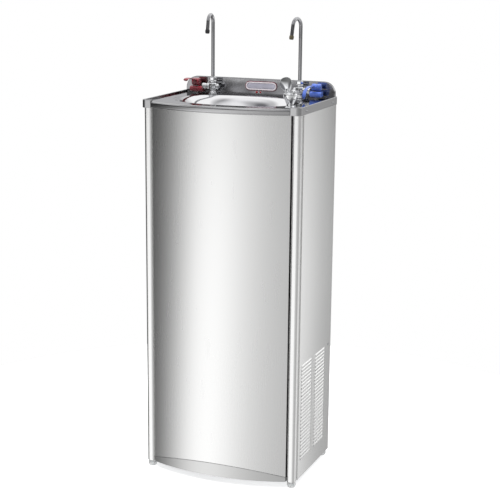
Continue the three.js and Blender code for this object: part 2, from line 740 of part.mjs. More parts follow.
function makeCondenserAndFan() {
  const bottom = FOOT_HEIGHT + 8 + GAP;
  const { x, y, z, radius } = FAN;
  const half = radius + 12;
  place("condenser", block(x + 38, x + 72, y - half, y + half, bottom + 40, z + half + 30), galvanised);

  const square = shifted(roundedRect(2 * half, 2 * half, 6, 2), y, z);
  const hole = shifted(circle(radius + 4, 20), y, z);
  const plate = sideways(square, x + 30, x + 32, [hole]);
  const ringOuter = shifted(circle(radius + 7, 20), y, z);
  const ring = sideways(ringOuter, x + 14, x + 31, [hole]);
  const motor = sideways(shifted(circle(26, 14), y, z), x - 42, x - 6);
  const arms = [0, 1, 2].map((k) => {
    const arm = block(-9, -4, -5, 5, 20, radius + 6);
    const strut = block(-9, 25, -5, 5, radius + 4.4, radius + 6.4);
    return join(arm, strut).rotateX((2 * Math.PI * k) / 3).translate(x, y, z);
  });
  place("fan_frame", join(plate, ring, motor, ...arms), blackPaint);

  const hub = disc(22, 0, 20, 14);
  const blades = Array.from({ length: 5 }, (_, k) => {
    const blade = block(18, radius - 3, -24, 24, -1.1, 1.1);
    return blade.rotateX(0.42).rotateZ((2 * Math.PI * k) / 5).translate(0, 0, 10);
  });
  const rotor = aimed(join(hub, ...blades), new THREE.Vector3(1, 0, 0));
  place("fan_rotor", rotor, blackPlastic, fountain, [x - 1, y, z]);
}

// A closed tank drawn from thin sheet, open only at its neck, with its axis upright.
function tankProfile(radius, height, neck, wall, round) {
  return [
    [neck, height], [radius - round, height], [radius, height - round], [radius, round],
    [radius - round, 0], [neck, 0], [neck, wall], [radius - round - wall / 2, wall],
    [radius - wall, round + wall / 2], [radius - wall, height - round - wall / 2],
    [radius - round - wall / 2, height - wall], [neck, height - wall],
  ];
}

function makeTanks() {
  const hole = (tank, r) => shifted(circle(r, 12), tank.x, tank.y);
  const half = PANEL_HALF - 8;
  const corners = [[-half, -105], [half, -105], [half, 150], [-half, 150]];
  const shelf = upright(corners, SHELF_Z - 2, SHELF_Z, [hole(HOT_TANK, 26), hole({ x: 0, y: DRAIN_PIPE_Y }, 18)]);
  place("tank_shelf", shelf, galvanised);

  const cold = tankProfile(COLD_TANK.radius, COLD_TANK.height, 9, 2, 12);
  cold.splice(5, 2, [0, 0], [0, 2]);
  cold.push([9, COLD_TANK.height]);
  place("cold_tank", turned(cold, 16), satinSteel, fountain, [COLD_TANK.x, COLD_TANK.y, COLD_TANK.z]);

  const skin = 12;
  const inner = COLD_TANK.radius + 2 * GAP;
  const low = SHELF_Z + GAP - COLD_TANK.z;
  const jacket = turned([
    [0, low], [inner + skin, low], [inner + skin, COLD_TANK.height], [inner, COLD_TANK.height],
    [inner, -GAP], [0, -GAP],
  ], 16);
  place("cold_tank_jacket", jacket, foam, fountain, [COLD_TANK.x, COLD_TANK.y, COLD_TANK.z]);

  const hot = tankProfile(HOT_TANK.radius, HOT_TANK.height, 9, 2, 12);
  hot[5] = [20, 0];
  hot[6] = [20, 2];
  hot.push(hot[0]);
  const legs = [0, 1, 2].map((k) => {
    const leg = block(40, 46, -6, 6, SHELF_Z + GAP - HOT_TANK.z, 1);
    return leg.rotateZ((2 * Math.PI * k) / 3);
  });
  const tank = join(turned(hot, 16), ...legs);
  place("hot_tank", tank, satinSteel, fountain, [HOT_TANK.x, HOT_TANK.y, HOT_TANK.z]);

  const flange = disc(25, -4, -GAP, 16);
  const rod = pipe([[-10, 0, -2], [-10, 0, 120], [10, 0, 120], [10, 0, -2]], 4, 9.9, { sides: 6 });
  place("heating_element", join(flange, rod), copper, fountain, [HOT_TANK.x, HOT_TANK.y, HOT_TANK.z]);
}

// ---- water pipes ----
function makeSupplyPipes() {
  const tail = DECK_Z - 32;
  const run = (name, tank, x) => {
    const top = tank.z + tank.height;
    const level = top + 45;
    const route = [[tank.x, tank.y, top - 6], [tank.x, tank.y, level], [x, TAP_Y, level], [x, TAP_Y, tail]];
    place(name, pipe(route, 4.5, 20, { sides: 6 }), siliconeHose);
  };
  run("cold_supply_pipe", COLD_TANK, TAP_X);
  run("hot_supply_pipe", HOT_TANK, -TAP_X);
  const under = COLD_TANK.z + COLD_TANK.height + 25;
  const route = [
    [COLD_TANK.x + 45, COLD_TANK.y, COLD_TANK.z + COLD_TANK.height + GAP],
    [COLD_TANK.x + 45, COLD_TANK.y, under],
    [BUBBLER[0], BUBBLER[1], under + 20],
    [BUBBLER[0], BUBBLER[1], DECK_Z - 30],
  ];
  place("bubbler_supply_pipe", pipe(route, 4, 18, { sides: 6 }), siliconeHose);
}

// ---- what is on the back ----
function makeInlets() {
  const flange = facing(shifted(roundedRect(50, 26, 5, 3), POWER_INLET.x, POWER_INLET.z), BACK_Y + GAP, BACK_Y + 3);
  const body = facing(shifted(roundedRect(31, 21, 2, 1), POWER_INLET.x, POWER_INLET.z), BACK_Y - 24, BACK_Y + 2);
  const socket = facing(shifted(roundedRect(24, 16, 3, 2), POWER_INLET.x, POWER_INLET.z), BACK_Y - 12, BACK_Y + 5);
  place("power_inlet", cut(join(flange, body), socket), blackPlastic);

  const back = HALF_DEPTH - BACK_Y;
  const thread = turned([
    [6, -26], [10.4, -26], [10.4, GAP], [16, GAP], [16, 4], [10.4, 4], [10.4, back], [6, back], [6, -26],
  ], 12);
  const inlet = aimed(thread, new THREE.Vector3(0, 1, 0));
  place("water_inlet", inlet, brass, fountain, [WATER_INLET.x, BACK_Y, WATER_INLET.z]);
}

function makeControls() {
  const { x, z, width, height, front, back } = CONTROL;
  const wells = ROCKER_ZS.map((rz) => facing(shifted(roundedRect(15, 25, 0), x + 22, rz), back - 14, back + 5));
  const knobWell = facing(shifted(circle(3.4, 12), x - 20, z), back - 10, back + 5);
  const box = facing(shifted(roundedRect(width, height, 4, 2), x, z), front, back);
  place("control_box", cut(box, ...wells, knobWell), blackPlastic);

  // Seen from the side, a rocker has two faces that meet in a shallow valley.
  const face = [[-6, -10], [2.4, -10], [0.6, 0], [2.4, 10], [-6, 10], [-8, 0]];
  ["heat_rocker", "cool_rocker"].forEach((name, k) => {
    const rocker = sideways(face, -6.4, 6.4);
    place(name, rocker, k ? bluePlastic : redPlastic, fountain, [x + 22, back - 1.5, ROCKER_ZS[k]]);
  });
  const knob = turned([[0, -8], [3, -8], [3, GAP], [13, GAP], [12, 9], [0, 9]], 18);
  aimed(knob, new THREE.Vector3(0, 1, 0));
  const pointer = block(-1.2, 1.2, 6, 9.8, 0, 11.6);
  place("thermostat_knob", join(knob, pointer), blackPlastic, fountain, [x - 20, back, z]);
}

makeCorners();
makeFront();
makeBasePan();
makeSidePanel("side_panel_left", -1);
makeSidePanel("side_panel_right", 1);
makeBackPanel();
makeFrontRim();
makeSideRim("side_rim_strip_left", -1);
makeSideRim("side_rim_strip_right", 1);
makeDeck();
makeDrain();
makeBacksplash();
makeWindow();
makeTap("hot", -1, redPlastic, HOT_LEVER, HOT_SPOUT);
makeTap("cold", 1, bluePlastic, COLD_LEVER, COLD_SPOUT);
makeBubbler();
makeCompressor();
makeCondenserAndFan();
makeTanks();
makeSupplyPipes();
makeInlets();
makeControls();

export default fountain;
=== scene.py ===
"""A free-standing stainless drinking fountain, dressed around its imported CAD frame.

Shapes are drawn in millimetres and scaled to metres when a piece is made. +Z is up and -Y is the front.
"""

import math

import bmesh
import bpy
from mathutils import Matrix, Vector


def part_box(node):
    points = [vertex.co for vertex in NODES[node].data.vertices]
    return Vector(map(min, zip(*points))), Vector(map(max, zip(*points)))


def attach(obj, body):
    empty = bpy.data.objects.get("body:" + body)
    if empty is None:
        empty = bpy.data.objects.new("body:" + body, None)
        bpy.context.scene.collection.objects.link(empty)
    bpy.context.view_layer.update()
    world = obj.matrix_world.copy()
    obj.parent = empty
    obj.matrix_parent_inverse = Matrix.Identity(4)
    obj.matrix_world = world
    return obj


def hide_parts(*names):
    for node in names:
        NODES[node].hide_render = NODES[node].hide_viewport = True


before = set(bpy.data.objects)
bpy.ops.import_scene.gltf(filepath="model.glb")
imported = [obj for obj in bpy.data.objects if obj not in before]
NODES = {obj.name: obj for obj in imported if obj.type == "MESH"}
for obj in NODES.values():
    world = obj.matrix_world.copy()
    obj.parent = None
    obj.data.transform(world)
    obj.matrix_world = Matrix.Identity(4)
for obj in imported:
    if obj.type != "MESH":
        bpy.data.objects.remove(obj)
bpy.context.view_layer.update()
MM = 0.001


def limits(node):
    """A CAD node's lowest and highest corner, in millimetres."""
    low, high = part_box(node)
    return low / MM, high / MM


def middle(low, high):
    return (low.x + high.x) / 2, (low.y + high.y) / 2, (low.z + high.z) / 2


# ---- sizes taken from the frame ----
PANEL_LOW, PANEL_HIGH = limits("front_panel")
POST_LOW, POST_HIGH = limits("post_front_right")
DECK_LOW, DECK_HIGH = limits("basin_deck")
SPLASH_LOW, SPLASH_HIGH = limits("backsplash")
SIDE_LOW, SIDE_HIGH = limits("side_panel_right")
STRIP_LOW, STRIP_HIGH = limits("side_rim_strip_right")
RIM_LOW, RIM_HIGH = limits("front_rim_moulding")
BACK_LOW, BACK_HIGH = limits("back_panel")

SHEET = 1.2
PANEL_HALF = PANEL_HIGH.x
FRONT_Y = POST_LOW.y
FLOOR_GAP = POST_LOW.z
CABINET_TOP = RIM_LOW.z
BOW = FRONT_Y - PANEL_LOW.y
BOW_RADIUS = (PANEL_HALF**2 + BOW**2) / (2 * BOW)
BOW_CENTRE_Y = FRONT_Y - BOW + BOW_RADIUS
RIM_OVERHANG = 10.0
RIM_DEPTH = 12.0
DECK_Z = DECK_HIGH.z
ARCH_END = 14.0
ARCH_RISE = 25.0
BOWL_HALF_WIDTH = 182.0
BOWL_HALF_DEPTH = 122.0
BOWL_BOTTOM = DECK_LOW.z + SHEET
DRAIN = Vector((0.0, -5.0))
DRAIN_RADIUS = 19.0
TAP_X = 133.0
TAP_Y = 130.0
BUBBLER = (191.0, -108.0)
SIDES = (("left", -1), ("right", 1))


# ---- shader nodes as expressions ----
class Value:
    """A socket of a finish; arithmetic on it adds Math nodes."""

    def __init__(self, finish, socket):
        self.finish = finish
        self.socket = socket

    def math(self, operation, *others):
        values = dict(enumerate((self, *others)))
        return self.finish.node("ShaderNodeMath", {"operation": operation}, values)

    def __add__(self, other):
        return self.math("ADD", other)

    def __mul__(self, other):
        return self.math("MULTIPLY", other)

    def __sub__(self, other):
        return self.math("SUBTRACT", other)

    def __rsub__(self, other):
        return (self * -1.0) + other

    def __truediv__(self, other):
        return self.math("DIVIDE", other)


def rgba(color, level=1.0):
    return (color[0] * level, color[1] * level, color[2] * level, 1.0)


def grey(level):
    return (level, level, level, 1.0)


class Finish:
    """A node tree, with one method that adds any node."""

    def __init__(self, tree):
        self.tree = tree
        tree.nodes.clear()

    def node(self, kind, settings=None, values=None, output=0):
        made = self.tree.nodes.new(kind)
        for key, value in (settings or {}).items():
            if key == "stops":
                self.stops(made.color_ramp, value)
            else:
                setattr(made, key, value)
        for key, value in (values or {}).items():
            if isinstance(value, Value):
                self.tree.links.new(value.socket, made.inputs[key])
            else:
                made.inputs[key].default_value = value
        return Value(self, made.outputs[output]) if made.outputs else None

    def stops(self, ramp, stops):
        while len(ramp.elements) < len(stops):
            ramp.elements.new(1.0)
        for element, (position, level) in zip(ramp.elements, stops):
            element.position = position
            element.color = grey(level)

    def place(self, stretch):
        """Object coordinates in metres, stretched along each axis."""
        spot = self.node("ShaderNodeTexCoord", output=3)
        return self.node("ShaderNodeMapping", values={"Vector": spot, "Scale": stretch})

    def noise(self, stretch, detail=3.0, roughness=0.5):
        values = {"Vector": self.place(stretch), "Scale": 1.0, "Detail": detail, "Roughness": roughness}
        return self.node("ShaderNodeTexNoise", values=values)

    def cells(self, scale, output=0):
        """Voronoi cells: the distance to the middle of each, or its colour as output 1."""
        values = {"Vector": self.place((1.0, 1.0, 1.0)), "Scale": scale}
        return self.node("ShaderNodeTexVoronoi", values=values, output=output)

    def crystals(self, scale):
        """One random level for each cell."""
        return self.node("ShaderNodeSeparateColor", values={"Color": self.cells(scale, 1)})

    def axis(self, vector, number):
        """One of the x, y and z of a vector, by its number."""
        return self.node("ShaderNodeSeparateXYZ", values={0: vector}, output=number)

    def between(self, value, low, high, start=0.0, end=1.0):
        """Maps value from low..high to start..end, held at the ends."""
        values = {0: value, 1: low, 2: high, 3: start, 4: end}
        return self.node("ShaderNodeMapRange", {"clamp": True}, values)

    def mix(self, share, first, second):
        values = {0: share, 6: first, 7: second}
        return self.node("ShaderNodeMix", {"data_type": "RGBA"}, values, output=2)

    def bump(self, height, strength, distance):
        values = {"Height": height, "Strength": strength, "Distance": distance}
        return self.node("ShaderNodeBump", values=values)

    def surface(self, values):
        shader = self.node("ShaderNodeBsdfPrincipled", values=values)
        self.node("ShaderNodeOutputMaterial", values={"Surface": shader})


def new_finish(name):
    material = bpy.data.materials.new(name)
    material.use_nodes = True
    return material, Finish(material.node_tree)


def sheet_steel(name, color, roughness, grain, marks=0.05, crown=0.0):
    """Stainless sheet: fine grain along one way, broad patches from handling, a few faint rubs.

    crown is how much a wide flat sheet swells towards its middle line, in metres per metre squared of y.
    """
    material, f = new_finish(name)
    fine = f.noise(grain, detail=4.0, roughness=0.7)
    broad = f.noise((5.0, 5.0, 2.2), detail=2.0)
    rubs = f.between(f.noise((60.0, 60.0, 9.0), detail=5.0), 0.62, 0.8)
    rough = (fine - 0.5) * 0.02 + (broad - 0.5) * marks + rubs * 0.03 + roughness
    offset = f.axis(f.place((1.0, 1.0, 1.0)), 1) - SHEET_MIDDLE_Y
    swell = offset * offset * crown
    tint = f.mix(f.between(broad, 0.3, 0.7), rgba(color, 0.985), rgba(color, 1.015))
    tint = f.mix(f.between(fine, 0.35, 0.75, 0.0, 0.05), tint, rgba(color, 0.88))
    f.surface({
        "Base Color": tint,
        "Metallic": 1.0,
        "Roughness": rough,
        "Normal": f.bump(fine * GRAIN_HEIGHT - swell, 1.0, 1.0),
    })
    return material


def bright_metal(name, color, roughness, pitting=0.02):
    """Plated or polished metal: nearly clear, with water spots and slow waves in the sheet."""
    material, f = new_finish(name)
    waves = f.noise((14.0, 14.0, 14.0), detail=1.0)
    spots = f.between(f.noise((420.0, 420.0, 420.0), detail=2.0), 0.60, 0.72)
    film = f.noise((38.0, 38.0, 38.0), detail=4.0)
    rough = f.between(film, 0.35, 0.75, roughness * 0.7, roughness * 1.5) + spots * pitting
    tint = f.mix(spots * 0.5, rgba(color), rgba(color, 0.9))
    f.surface({
        "Base Color": tint,
        "Metallic": 1.0,
        "Roughness": rough,
        "Normal": f.bump(waves + spots * 0.02, 0.06, 0.002),
    })
    return material


def zinc_sheet(name, color):
    """Galvanised sheet: crystals of slightly different greys with a dull bloom."""
    material, f = new_finish(name)
    crystal = f.crystals(110.0)
    bloom = f.noise((9.0, 9.0, 9.0), detail=4.0)
    tint = f.mix(crystal, rgba(color, 0.90), rgba(color, 1.06))
    tint = f.mix(f.between(bloom, 0.45, 0.8, 0.0, 0.5), tint, rgba(ZINC_BLOOM))
    f.surface({
        "Base Color": tint,
        "Metallic": f.between(bloom, 0.4, 0.8, 1.0, 0.75),
        "Roughness": crystal * 0.16 + bloom * 0.12 + 0.34,
        "Normal": f.bump(crystal, 0.05, 0.0004),
    })
    return material


def moulded(name, color, roughness, coat=0.0, texture=0.12, depth=0.0, mottle=0.12):
    """Moulded plastic: fine spark texture, slight flow shading and scuffs."""
    material, f = new_finish(name)
    spark = f.noise((1500.0, 1500.0, 1500.0), detail=2.0)
    flow = f.noise((40.0, 40.0, 18.0), detail=3.0)
    scuff = f.between(f.noise((180.0, 180.0, 60.0), detail=5.0), 0.62, 0.75)
    tint = f.mix(f.between(flow, 0.3, 0.7), rgba(color, 1.0 - mottle), rgba(color, 1.0 + mottle))
    tint = f.mix(scuff * 0.15, tint, grey(0.55))
    f.surface({
        "Base Color": tint,
        "Roughness": spark * 0.06 + scuff * 0.12 + roughness,
        "IOR": PLASTIC_IOR,
        "Subsurface Weight": depth,
        "Subsurface Radius": (0.004, 0.003, 0.003),
        "Subsurface Scale": 1.0,
        "Coat Weight": coat,
        "Coat Roughness": 0.06,
        "Normal": f.bump(spark, texture, 0.0001),
    })
    return material


def lamp_glass(name, color, glow):
    """A small lamp lens: deep clear colour with moulded facets and a faint glow all over."""
    material, f = new_finish(name)
    facets = f.crystals(900.0)
    tint = f.mix(facets, rgba(color, 0.75), rgba(color, 1.2))
    f.surface({
        "Base Color": tint,
        "Roughness": facets * 0.08 + 0.08,
        "IOR": PLASTIC_IOR,
        "Coat Weight": 0.6,
        "Coat Roughness": 0.04,
        "Emission Color": tint,
        "Emission Strength": glow,
        "Normal": f.bump(facets, 0.12, 0.0003),
    })
    return material


def painted(name, color, roughness):
    """Semi-gloss paint with orange peel and dust on what faces up."""
    material, f = new_finish(name)
    peel = f.noise((700.0, 700.0, 700.0), detail=1.0)
    worn = f.between(f.noise((30.0, 30.0, 30.0), detail=6.0), 0.58, 0.74)
    up = f.axis(f.node("ShaderNodeNewGeometry", output=1), 2)
    dust = f.between(up, 0.5, 1.0) * f.between(worn, 0.0, 1.0, 0.25, 0.7)
    f.surface({
        "Base Color": f.mix(dust * 0.5, rgba(color), rgba(DUST)),
        "Roughness": worn * 0.15 + dust * 0.3 + roughness,
        "Normal": f.bump(peel, 0.12, 0.0002),
    })
    return material


def rigid_foam(name, color):
    """Poured foam: open bubbles, with a yellowed skin."""
    material, f = new_finish(name)
    bubble = f.cells(420.0)
    skin = f.noise((20.0, 20.0, 20.0), detail=4.0)
    f.surface({
        "Base Color": f.mix(f.between(skin, 0.35, 0.7), rgba(color, 0.8), rgba(color, 1.08)),
        "Roughness": bubble * 0.1 + 0.82,
        "Normal": f.bump(bubble, 0.4, 0.001),
    })
    return material


SHEET_MIDDLE_Y = (SIDE_LOW.y + SIDE_HIGH.y) / 2 * MM
GRAIN_HEIGHT = 0.000004
PLASTIC_IOR = 1.49
ZINC_BLOOM = (0.66, 0.67, 0.68)
DUST = (0.30, 0.29, 0.27)
STAINLESS = (0.79, 0.79, 0.785)
UPRIGHT_GRAIN = (1300.0, 1300.0, 7.0)
LEVEL_GRAIN = (7.0, 1300.0, 1300.0)
SATIN = sheet_steel("satin_steel", STAINLESS, 0.27, UPRIGHT_GRAIN)
SIDE_SATIN = sheet_steel("satin_side_steel", STAINLESS, 0.24, UPRIGHT_GRAIN, crown=0.22)
KICK_SATIN = sheet_steel("satin_kick_steel", (0.62, 0.62, 0.615), 0.30, LEVEL_GRAIN)
# The rim moulding and side strips take a darker copy of the satin stainless: painted shade for the grey they
# show.
RIM_STEEL_PAINTED_SHADE = sheet_steel("satin_rim_steel_painted_shade", (0.40, 0.40, 0.405), 0.17, (9.0, 9.0, 1400.0))
TANK_STEEL = sheet_steel("tank_steel", (0.70, 0.69, 0.67), 0.30, (14.0, 14.0, 900.0), marks=0.15)
POLISHED = bright_metal("polished_steel", (0.64, 0.64, 0.65), 0.075)
# The goosenecks take a darker copy of the bright metal: painted shade.
NECK_STEEL_PAINTED_SHADE = bright_metal("neck_steel_painted_shade", (0.36, 0.36, 0.37), 0.10)
CHROME = bright_metal("chrome", (0.74, 0.75, 0.76), 0.035, pitting=0.03)
# The backsplash takes a darker copy of the polished steel: painted shade for the grey it shows.
SPLASH_STEEL_PAINTED_SHADE = bright_metal("splash_steel_painted_shade", (0.31, 0.31, 0.32), 0.13)
ZINC = zinc_sheet("galvanised_steel", (0.50, 0.52, 0.54))
RED = moulded("red_plastic", (0.22, 0.02, 0.032), 0.16, coat=0.7, texture=0.03, mottle=0.35)
BLUE = moulded("blue_plastic", (0.085, 0.17, 0.62), 0.14, coat=0.7, texture=0.03, mottle=0.40)
MAROON = moulded("maroon_trim", (0.16, 0.03, 0.05), 0.25, coat=0.3, texture=0.05)
FOOT_PLASTIC = moulded("foot_plastic", (0.55, 0.56, 0.56), 0.22, coat=0.4, texture=0.06, depth=0.1)
WHITE = moulded("white_plastic", (0.86, 0.80, 0.83), 0.28, coat=0.3, texture=0.04, mottle=0.04)
WINDOW = moulded("window_plastic", (0.50, 0.49, 0.58), 0.12, coat=0.8, texture=0.02, mottle=0.10)
LAMP = lamp_glass("lamp_red", (0.30, 0.008, 0.014), 0.05)
BLACK = moulded("black_plastic", (0.022, 0.022, 0.024), 0.42, texture=0.2)
OLIVE = moulded("olive_plastic", (0.10, 0.085, 0.05), 0.35, texture=0.1)
BLACK_PAINT = painted("black_paint", (0.022, 0.022, 0.025), 0.32)
FOAM = rigid_foam("foam", (0.80, 0.72, 0.50))
COPPER = sheet_steel("copper", (0.80, 0.46, 0.32), 0.26, (60.0, 60.0, 700.0), marks=0.2)
BRASS = sheet_steel("brass", (0.74, 0.58, 0.30), 0.22, (60.0, 900.0, 60.0), marks=0.2)
HOSE = moulded("silicone_hose", (0.80, 0.82, 0.83), 0.32, texture=0.08, depth=0.4)
GREY_PIPE = moulded("grey_pipe", (0.42, 0.44, 0.46), 0.40, texture=0.12)
SCREW = bright_metal("screw_steel", (0.52, 0.52, 0.53), 0.20)
# Near-black for the screws' cross recesses: painted shade for the shadow inside each recess.
RECESS_PAINTED_SHADE = painted("screw_recess_painted_shade", (0.03, 0.03, 0.03), 0.6)


# ---- shapes: lists of points in millimetres, and faces ----
def loft(loops, caps=True, round_section=True):
    """Joins equal loops of points one after another, with flat ends."""
    n = len(loops[0])
    points = [p for loop in loops for p in loop]
    faces = []
    for k in range(len(loops) - 1):
        for i in range(n if round_section else n - 1):
            a, b = k * n + i, k * n + (i + 1) % n
            faces.append((a, b, b + n, a + n))
    if caps:
        last = (len(loops) - 1) * n
        faces.append(tuple(reversed(range(n))))
        faces.append(tuple(range(last, last + n)))
    return points, faces


def merged(*shapes):
    points, faces = [], []
    for more_points, more_faces in shapes:
        start = len(points)
        points += list(more_points)
        faces += [tuple(start + i for i in face) for face in more_faces]
    return points, faces


def moved(shape, matrix):
    points, faces = shape
    return [matrix @ Vector(p) for p in points], faces


def at(x, y, z):
    return Matrix.Translation((x, y, z))


def turned_by(degrees, axis):
    return Matrix.Rotation(math.radians(degrees), 4, axis)


def mirrored(shape, side):
    return shape if side > 0 else moved(shape, Matrix.Diagonal((-1.0, 1.0, 1.0, 1.0)))


def aimed(direction):
    """The turn that takes +z to a direction."""
    return Vector((0.0, 0.0, 1.0)).rotation_difference(Vector(direction)).to_matrix().to_4x4()


def ramp(count):
    """Even steps from 0 to 1."""
    return [i / count for i in range(count + 1)]


def full_turn(count):
    """Even angles once round, in radians."""
    return [2 * math.pi * i / count for i in range(count)]


def signed_power(value, power):
    return math.copysign(abs(value) ** power, value)


def circle(radius, count, z=0.0):
    return [Vector((radius * math.cos(a), radius * math.sin(a), z)) for a in full_turn(count)]


def lathe(profile, count=40):
    """A turned solid from [radius, z] pairs; its ends are closed flat."""
    return loft([circle(r, count, z) for r, z in profile])


def rounded_corners(line, radius, steps, share):
    """A line of points with its inner corners eased, each over at most 1 / share of its neighbours."""
    corners = [Vector(p) for p in line]
    eased = [corners[0]]
    for before, corner, after in zip(corners, corners[1:], corners[2:]):
        reach = min(radius, (before - corner).length / share, (after - corner).length / share)
        start = corner + (before - corner).normalized() * reach
        end = corner + (after - corner).normalized() * reach
        eased += [start * (1 - t) ** 2 + corner * 2 * t * (1 - t) + end * t**2 for t in ramp(steps)]
    return [*eased, corners[-1]]


def rounded_profile(profile, radius):
    """A [radius, z] profile with its inner corners eased."""
    return [(max(p.x, AXIS), p.y) for p in rounded_corners(profile, radius, 4, 2)]


def turned(profile, ease, count=40):
    return lathe(rounded_profile(profile, ease), count)


def rounded_box(width, height, radius, steps=8):
    """A flat outline centred on the origin; radius is one number or four."""
    radii = radius if isinstance(radius, tuple) else (radius,) * 4
    points = []
    for k, (sx, sy) in enumerate([(1, 1), (-1, 1), (-1, -1), (1, -1)]):
        r = max(radii[k], 0.01)
        for i in range(steps + 1):
            a = math.pi / 2 * (k + i / steps)
            x = sx * (width / 2 - r) + r * math.cos(a)
            y = sy * (height / 2 - r) + r * math.sin(a)
            points.append(Vector((x, y, 0.0)))
    return points


def rectangle(x0, y0, x1, y1):
    return [Vector((x, y, 0.0)) for x, y in ((x0, y0), (x1, y0), (x1, y1), (x0, y1))]


def shifted(points, dx, dy):
    return [p + Vector((dx, dy, 0.0)) for p in points]


def prism(outline, z0, z1):
    return loft([[(p[0], p[1], z) for p in outline] for z in (z0, z1)])


# FACING stands a flat shape up with its thickness towards +y, SIDEWAYS with its thickness towards +x.
FACING = Matrix(((1, 0, 0, 0), (0, 0, 1, 0), (0, 1, 0, 0), (0, 0, 0, 1)))
SIDEWAYS = Matrix(((0, 0, 1, 0), (1, 0, 0, 0), (0, 1, 0, 0), (0, 0, 0, 1)))
AXIS = 0.01                                   # the radius that stands for a lathe's axis


def facing(shape, x, y, z):
    return moved(shape, at(x, y, z) @ FACING)


def linked(name, data):
    made = bpy.data.objects.new(name, data)
    bpy.context.scene.collection.objects.link(made)
    return made


def plate(outline, holes, thickness, edge):
    """A flat sheet with holes and eased edges, from z 0 to its thickness."""
    curve = bpy.data.curves.new("outline", "CURVE")
    curve.dimensions = "2D"
    curve.fill_mode = "BOTH"
    curve.bevel_depth = edge
    curve.bevel_resolution = 1
    curve.offset = -edge
    curve.extrude = thickness / 2 - edge
    for path in [outline, *holes]:
        spline = curve.splines.new("POLY")
        spline.points.add(len(path) - 1)
        spline.use_cyclic_u = True
        for point, place in zip(spline.points, path):
            point.co = (place[0], place[1], 0.0, 1.0)
    carrier = linked("outline", curve)
    bpy.context.view_layer.update()
    mesh = bpy.data.meshes.new_from_object(carrier.evaluated_get(bpy.context.evaluated_depsgraph_get()))
    lift = Vector((0.0, 0.0, thickness / 2))
    shape = [v.co + lift for v in mesh.vertices], [tuple(p.vertices) for p in mesh.polygons]
    bpy.data.objects.remove(carrier)
    bpy.data.curves.remove(curve)
    bpy.data.meshes.remove(mesh)
    return shape


def tube(line, radius, count=24):
    """A round bar along a line of points; radius is one number or one for each point."""
    radii = radius if isinstance(radius, tuple) else (radius,) * len(line)
    line = [Vector(p) for p in line]
    side = None
    loops = []
    for i, spot in enumerate(line):
        ahead = (line[min(i + 1, len(line) - 1)] - line[max(i - 1, 0)]).normalized()
        if side is None:
            side = ahead.orthogonal().normalized()
        side = (side - ahead * side.dot(ahead)).normalized()
        other = ahead.cross(side)
        r = radii[i]
        loops.append([spot + side * r * math.cos(a) + other * r * math.sin(a) for a in full_turn(count)])
    return loft(loops)


def make(name, shape, material, body="cabinet", hides=None, edge=0.0, steps=2, sharp=38.0,
         skin=0.0):
    """Makes one piece: a mesh in metres with eased edges, riding on its body.

    hides names the CAD node that the piece replaces.
    sharp is the angle in degrees past which an edge stays sharp. skin thickens a bare surface, outwards or,
    when negative, inwards.
    """
    points, faces = shape
    mesh = bpy.data.meshes.new(name)
    mesh.from_pydata([Vector(p) * MM for p in points], [], faces)
    work = bmesh.new()
    work.from_mesh(mesh)
    bmesh.ops.remove_doubles(work, verts=work.verts, dist=2e-6)
    bmesh.ops.recalc_face_normals(work, faces=work.faces)
    work.to_mesh(mesh)
    work.free()
    mesh.materials.append(material)
    mesh.polygons.foreach_set("use_smooth", [True] * len(mesh.polygons))
    mesh.set_sharp_from_angle(angle=math.radians(sharp))
    piece = linked(name, mesh)
    if skin:
        shell = piece.modifiers.new("skin", "SOLIDIFY")
        shell.thickness = abs(skin) * MM
        shell.offset = math.copysign(1.0, skin)
    if edge:
        ease = piece.modifiers.new("edges", "BEVEL")
        ease.width = edge * MM
        ease.segments = steps
        ease.limit_method = "ANGLE"
        ease.angle_limit = math.radians(sharp)
    weigh = piece.modifiers.new("normals", "WEIGHTED_NORMAL")
    weigh.keep_sharp = True
    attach(piece, body)
    if hides:
        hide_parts(hides)


# ---- the bowed front ----
def bow_y(x, out=0.0):
    return BOW_CENTRE_Y - math.sqrt((BOW_RADIUS + out) ** 2 - x**2)


def arch_z(x):
    return FLOOR_GAP + ARCH_END + ARCH_RISE * (1 - (x / PANEL_HALF) ** 2)


def bow_stations(half, count=72):
    return [half * (2 * t - 1) for t in ramp(count)]


PANEL_FLANGE = 18                             # how far the front sheet is turned back at each post


def front_sheet(low, high):
    """The bowed sheet with a flange turned back at each post, between two height lines."""
    line = [(x, bow_y(x), x * (1 - SHEET / PANEL_HALF), bow_y(x, -SHEET)) for x in bow_stations(PANEL_HALF)]
    first, last = line[0], line[-1]
    flange = FRONT_Y + PANEL_FLANGE
    outer = [(first[0], flange), *[(a, b) for a, b, _, _ in line], (last[0], flange)]
    inner = [(first[2], flange), *[(c, d) for _, _, c, d in line], (last[2], flange)]
    loops = []
    for (ox, oy), (ix, iy) in zip(outer, inner):
        z0, z1 = low(ox), high(ox)
        loops.append([(ox, oy, z0), (ox, oy, z1), (ix, iy, z1), (ix, iy, z0)])
    return loft(loops)


def make_front():
    gap = 0.4
    panel = front_sheet(lambda x: arch_z(x) + gap, lambda x: PANEL_HIGH.z)
    make("front_sheet", panel, SATIN, hides="front_panel", edge=0.5)
    kick = front_sheet(lambda x: FLOOR_GAP, lambda x: arch_z(x) - gap)
    make("kick_sheet", kick, KICK_SATIN, hides="kick_plate", edge=0.4)


def make_posts():
    width = POST_HIGH.x - POST_LOW.x
    x, y, _ = middle(POST_LOW, POST_HIGH)
    for name, side in SIDES:
        outline = shifted(rounded_box(width - 1.2, width - 0.6, 9.0, 12), side * x, y)
        shape = prism(outline, POST_LOW.z, POST_HIGH.z)
        make(f"post_{name}", shape, SATIN, hides=f"post_front_{name}", edge=0.6)


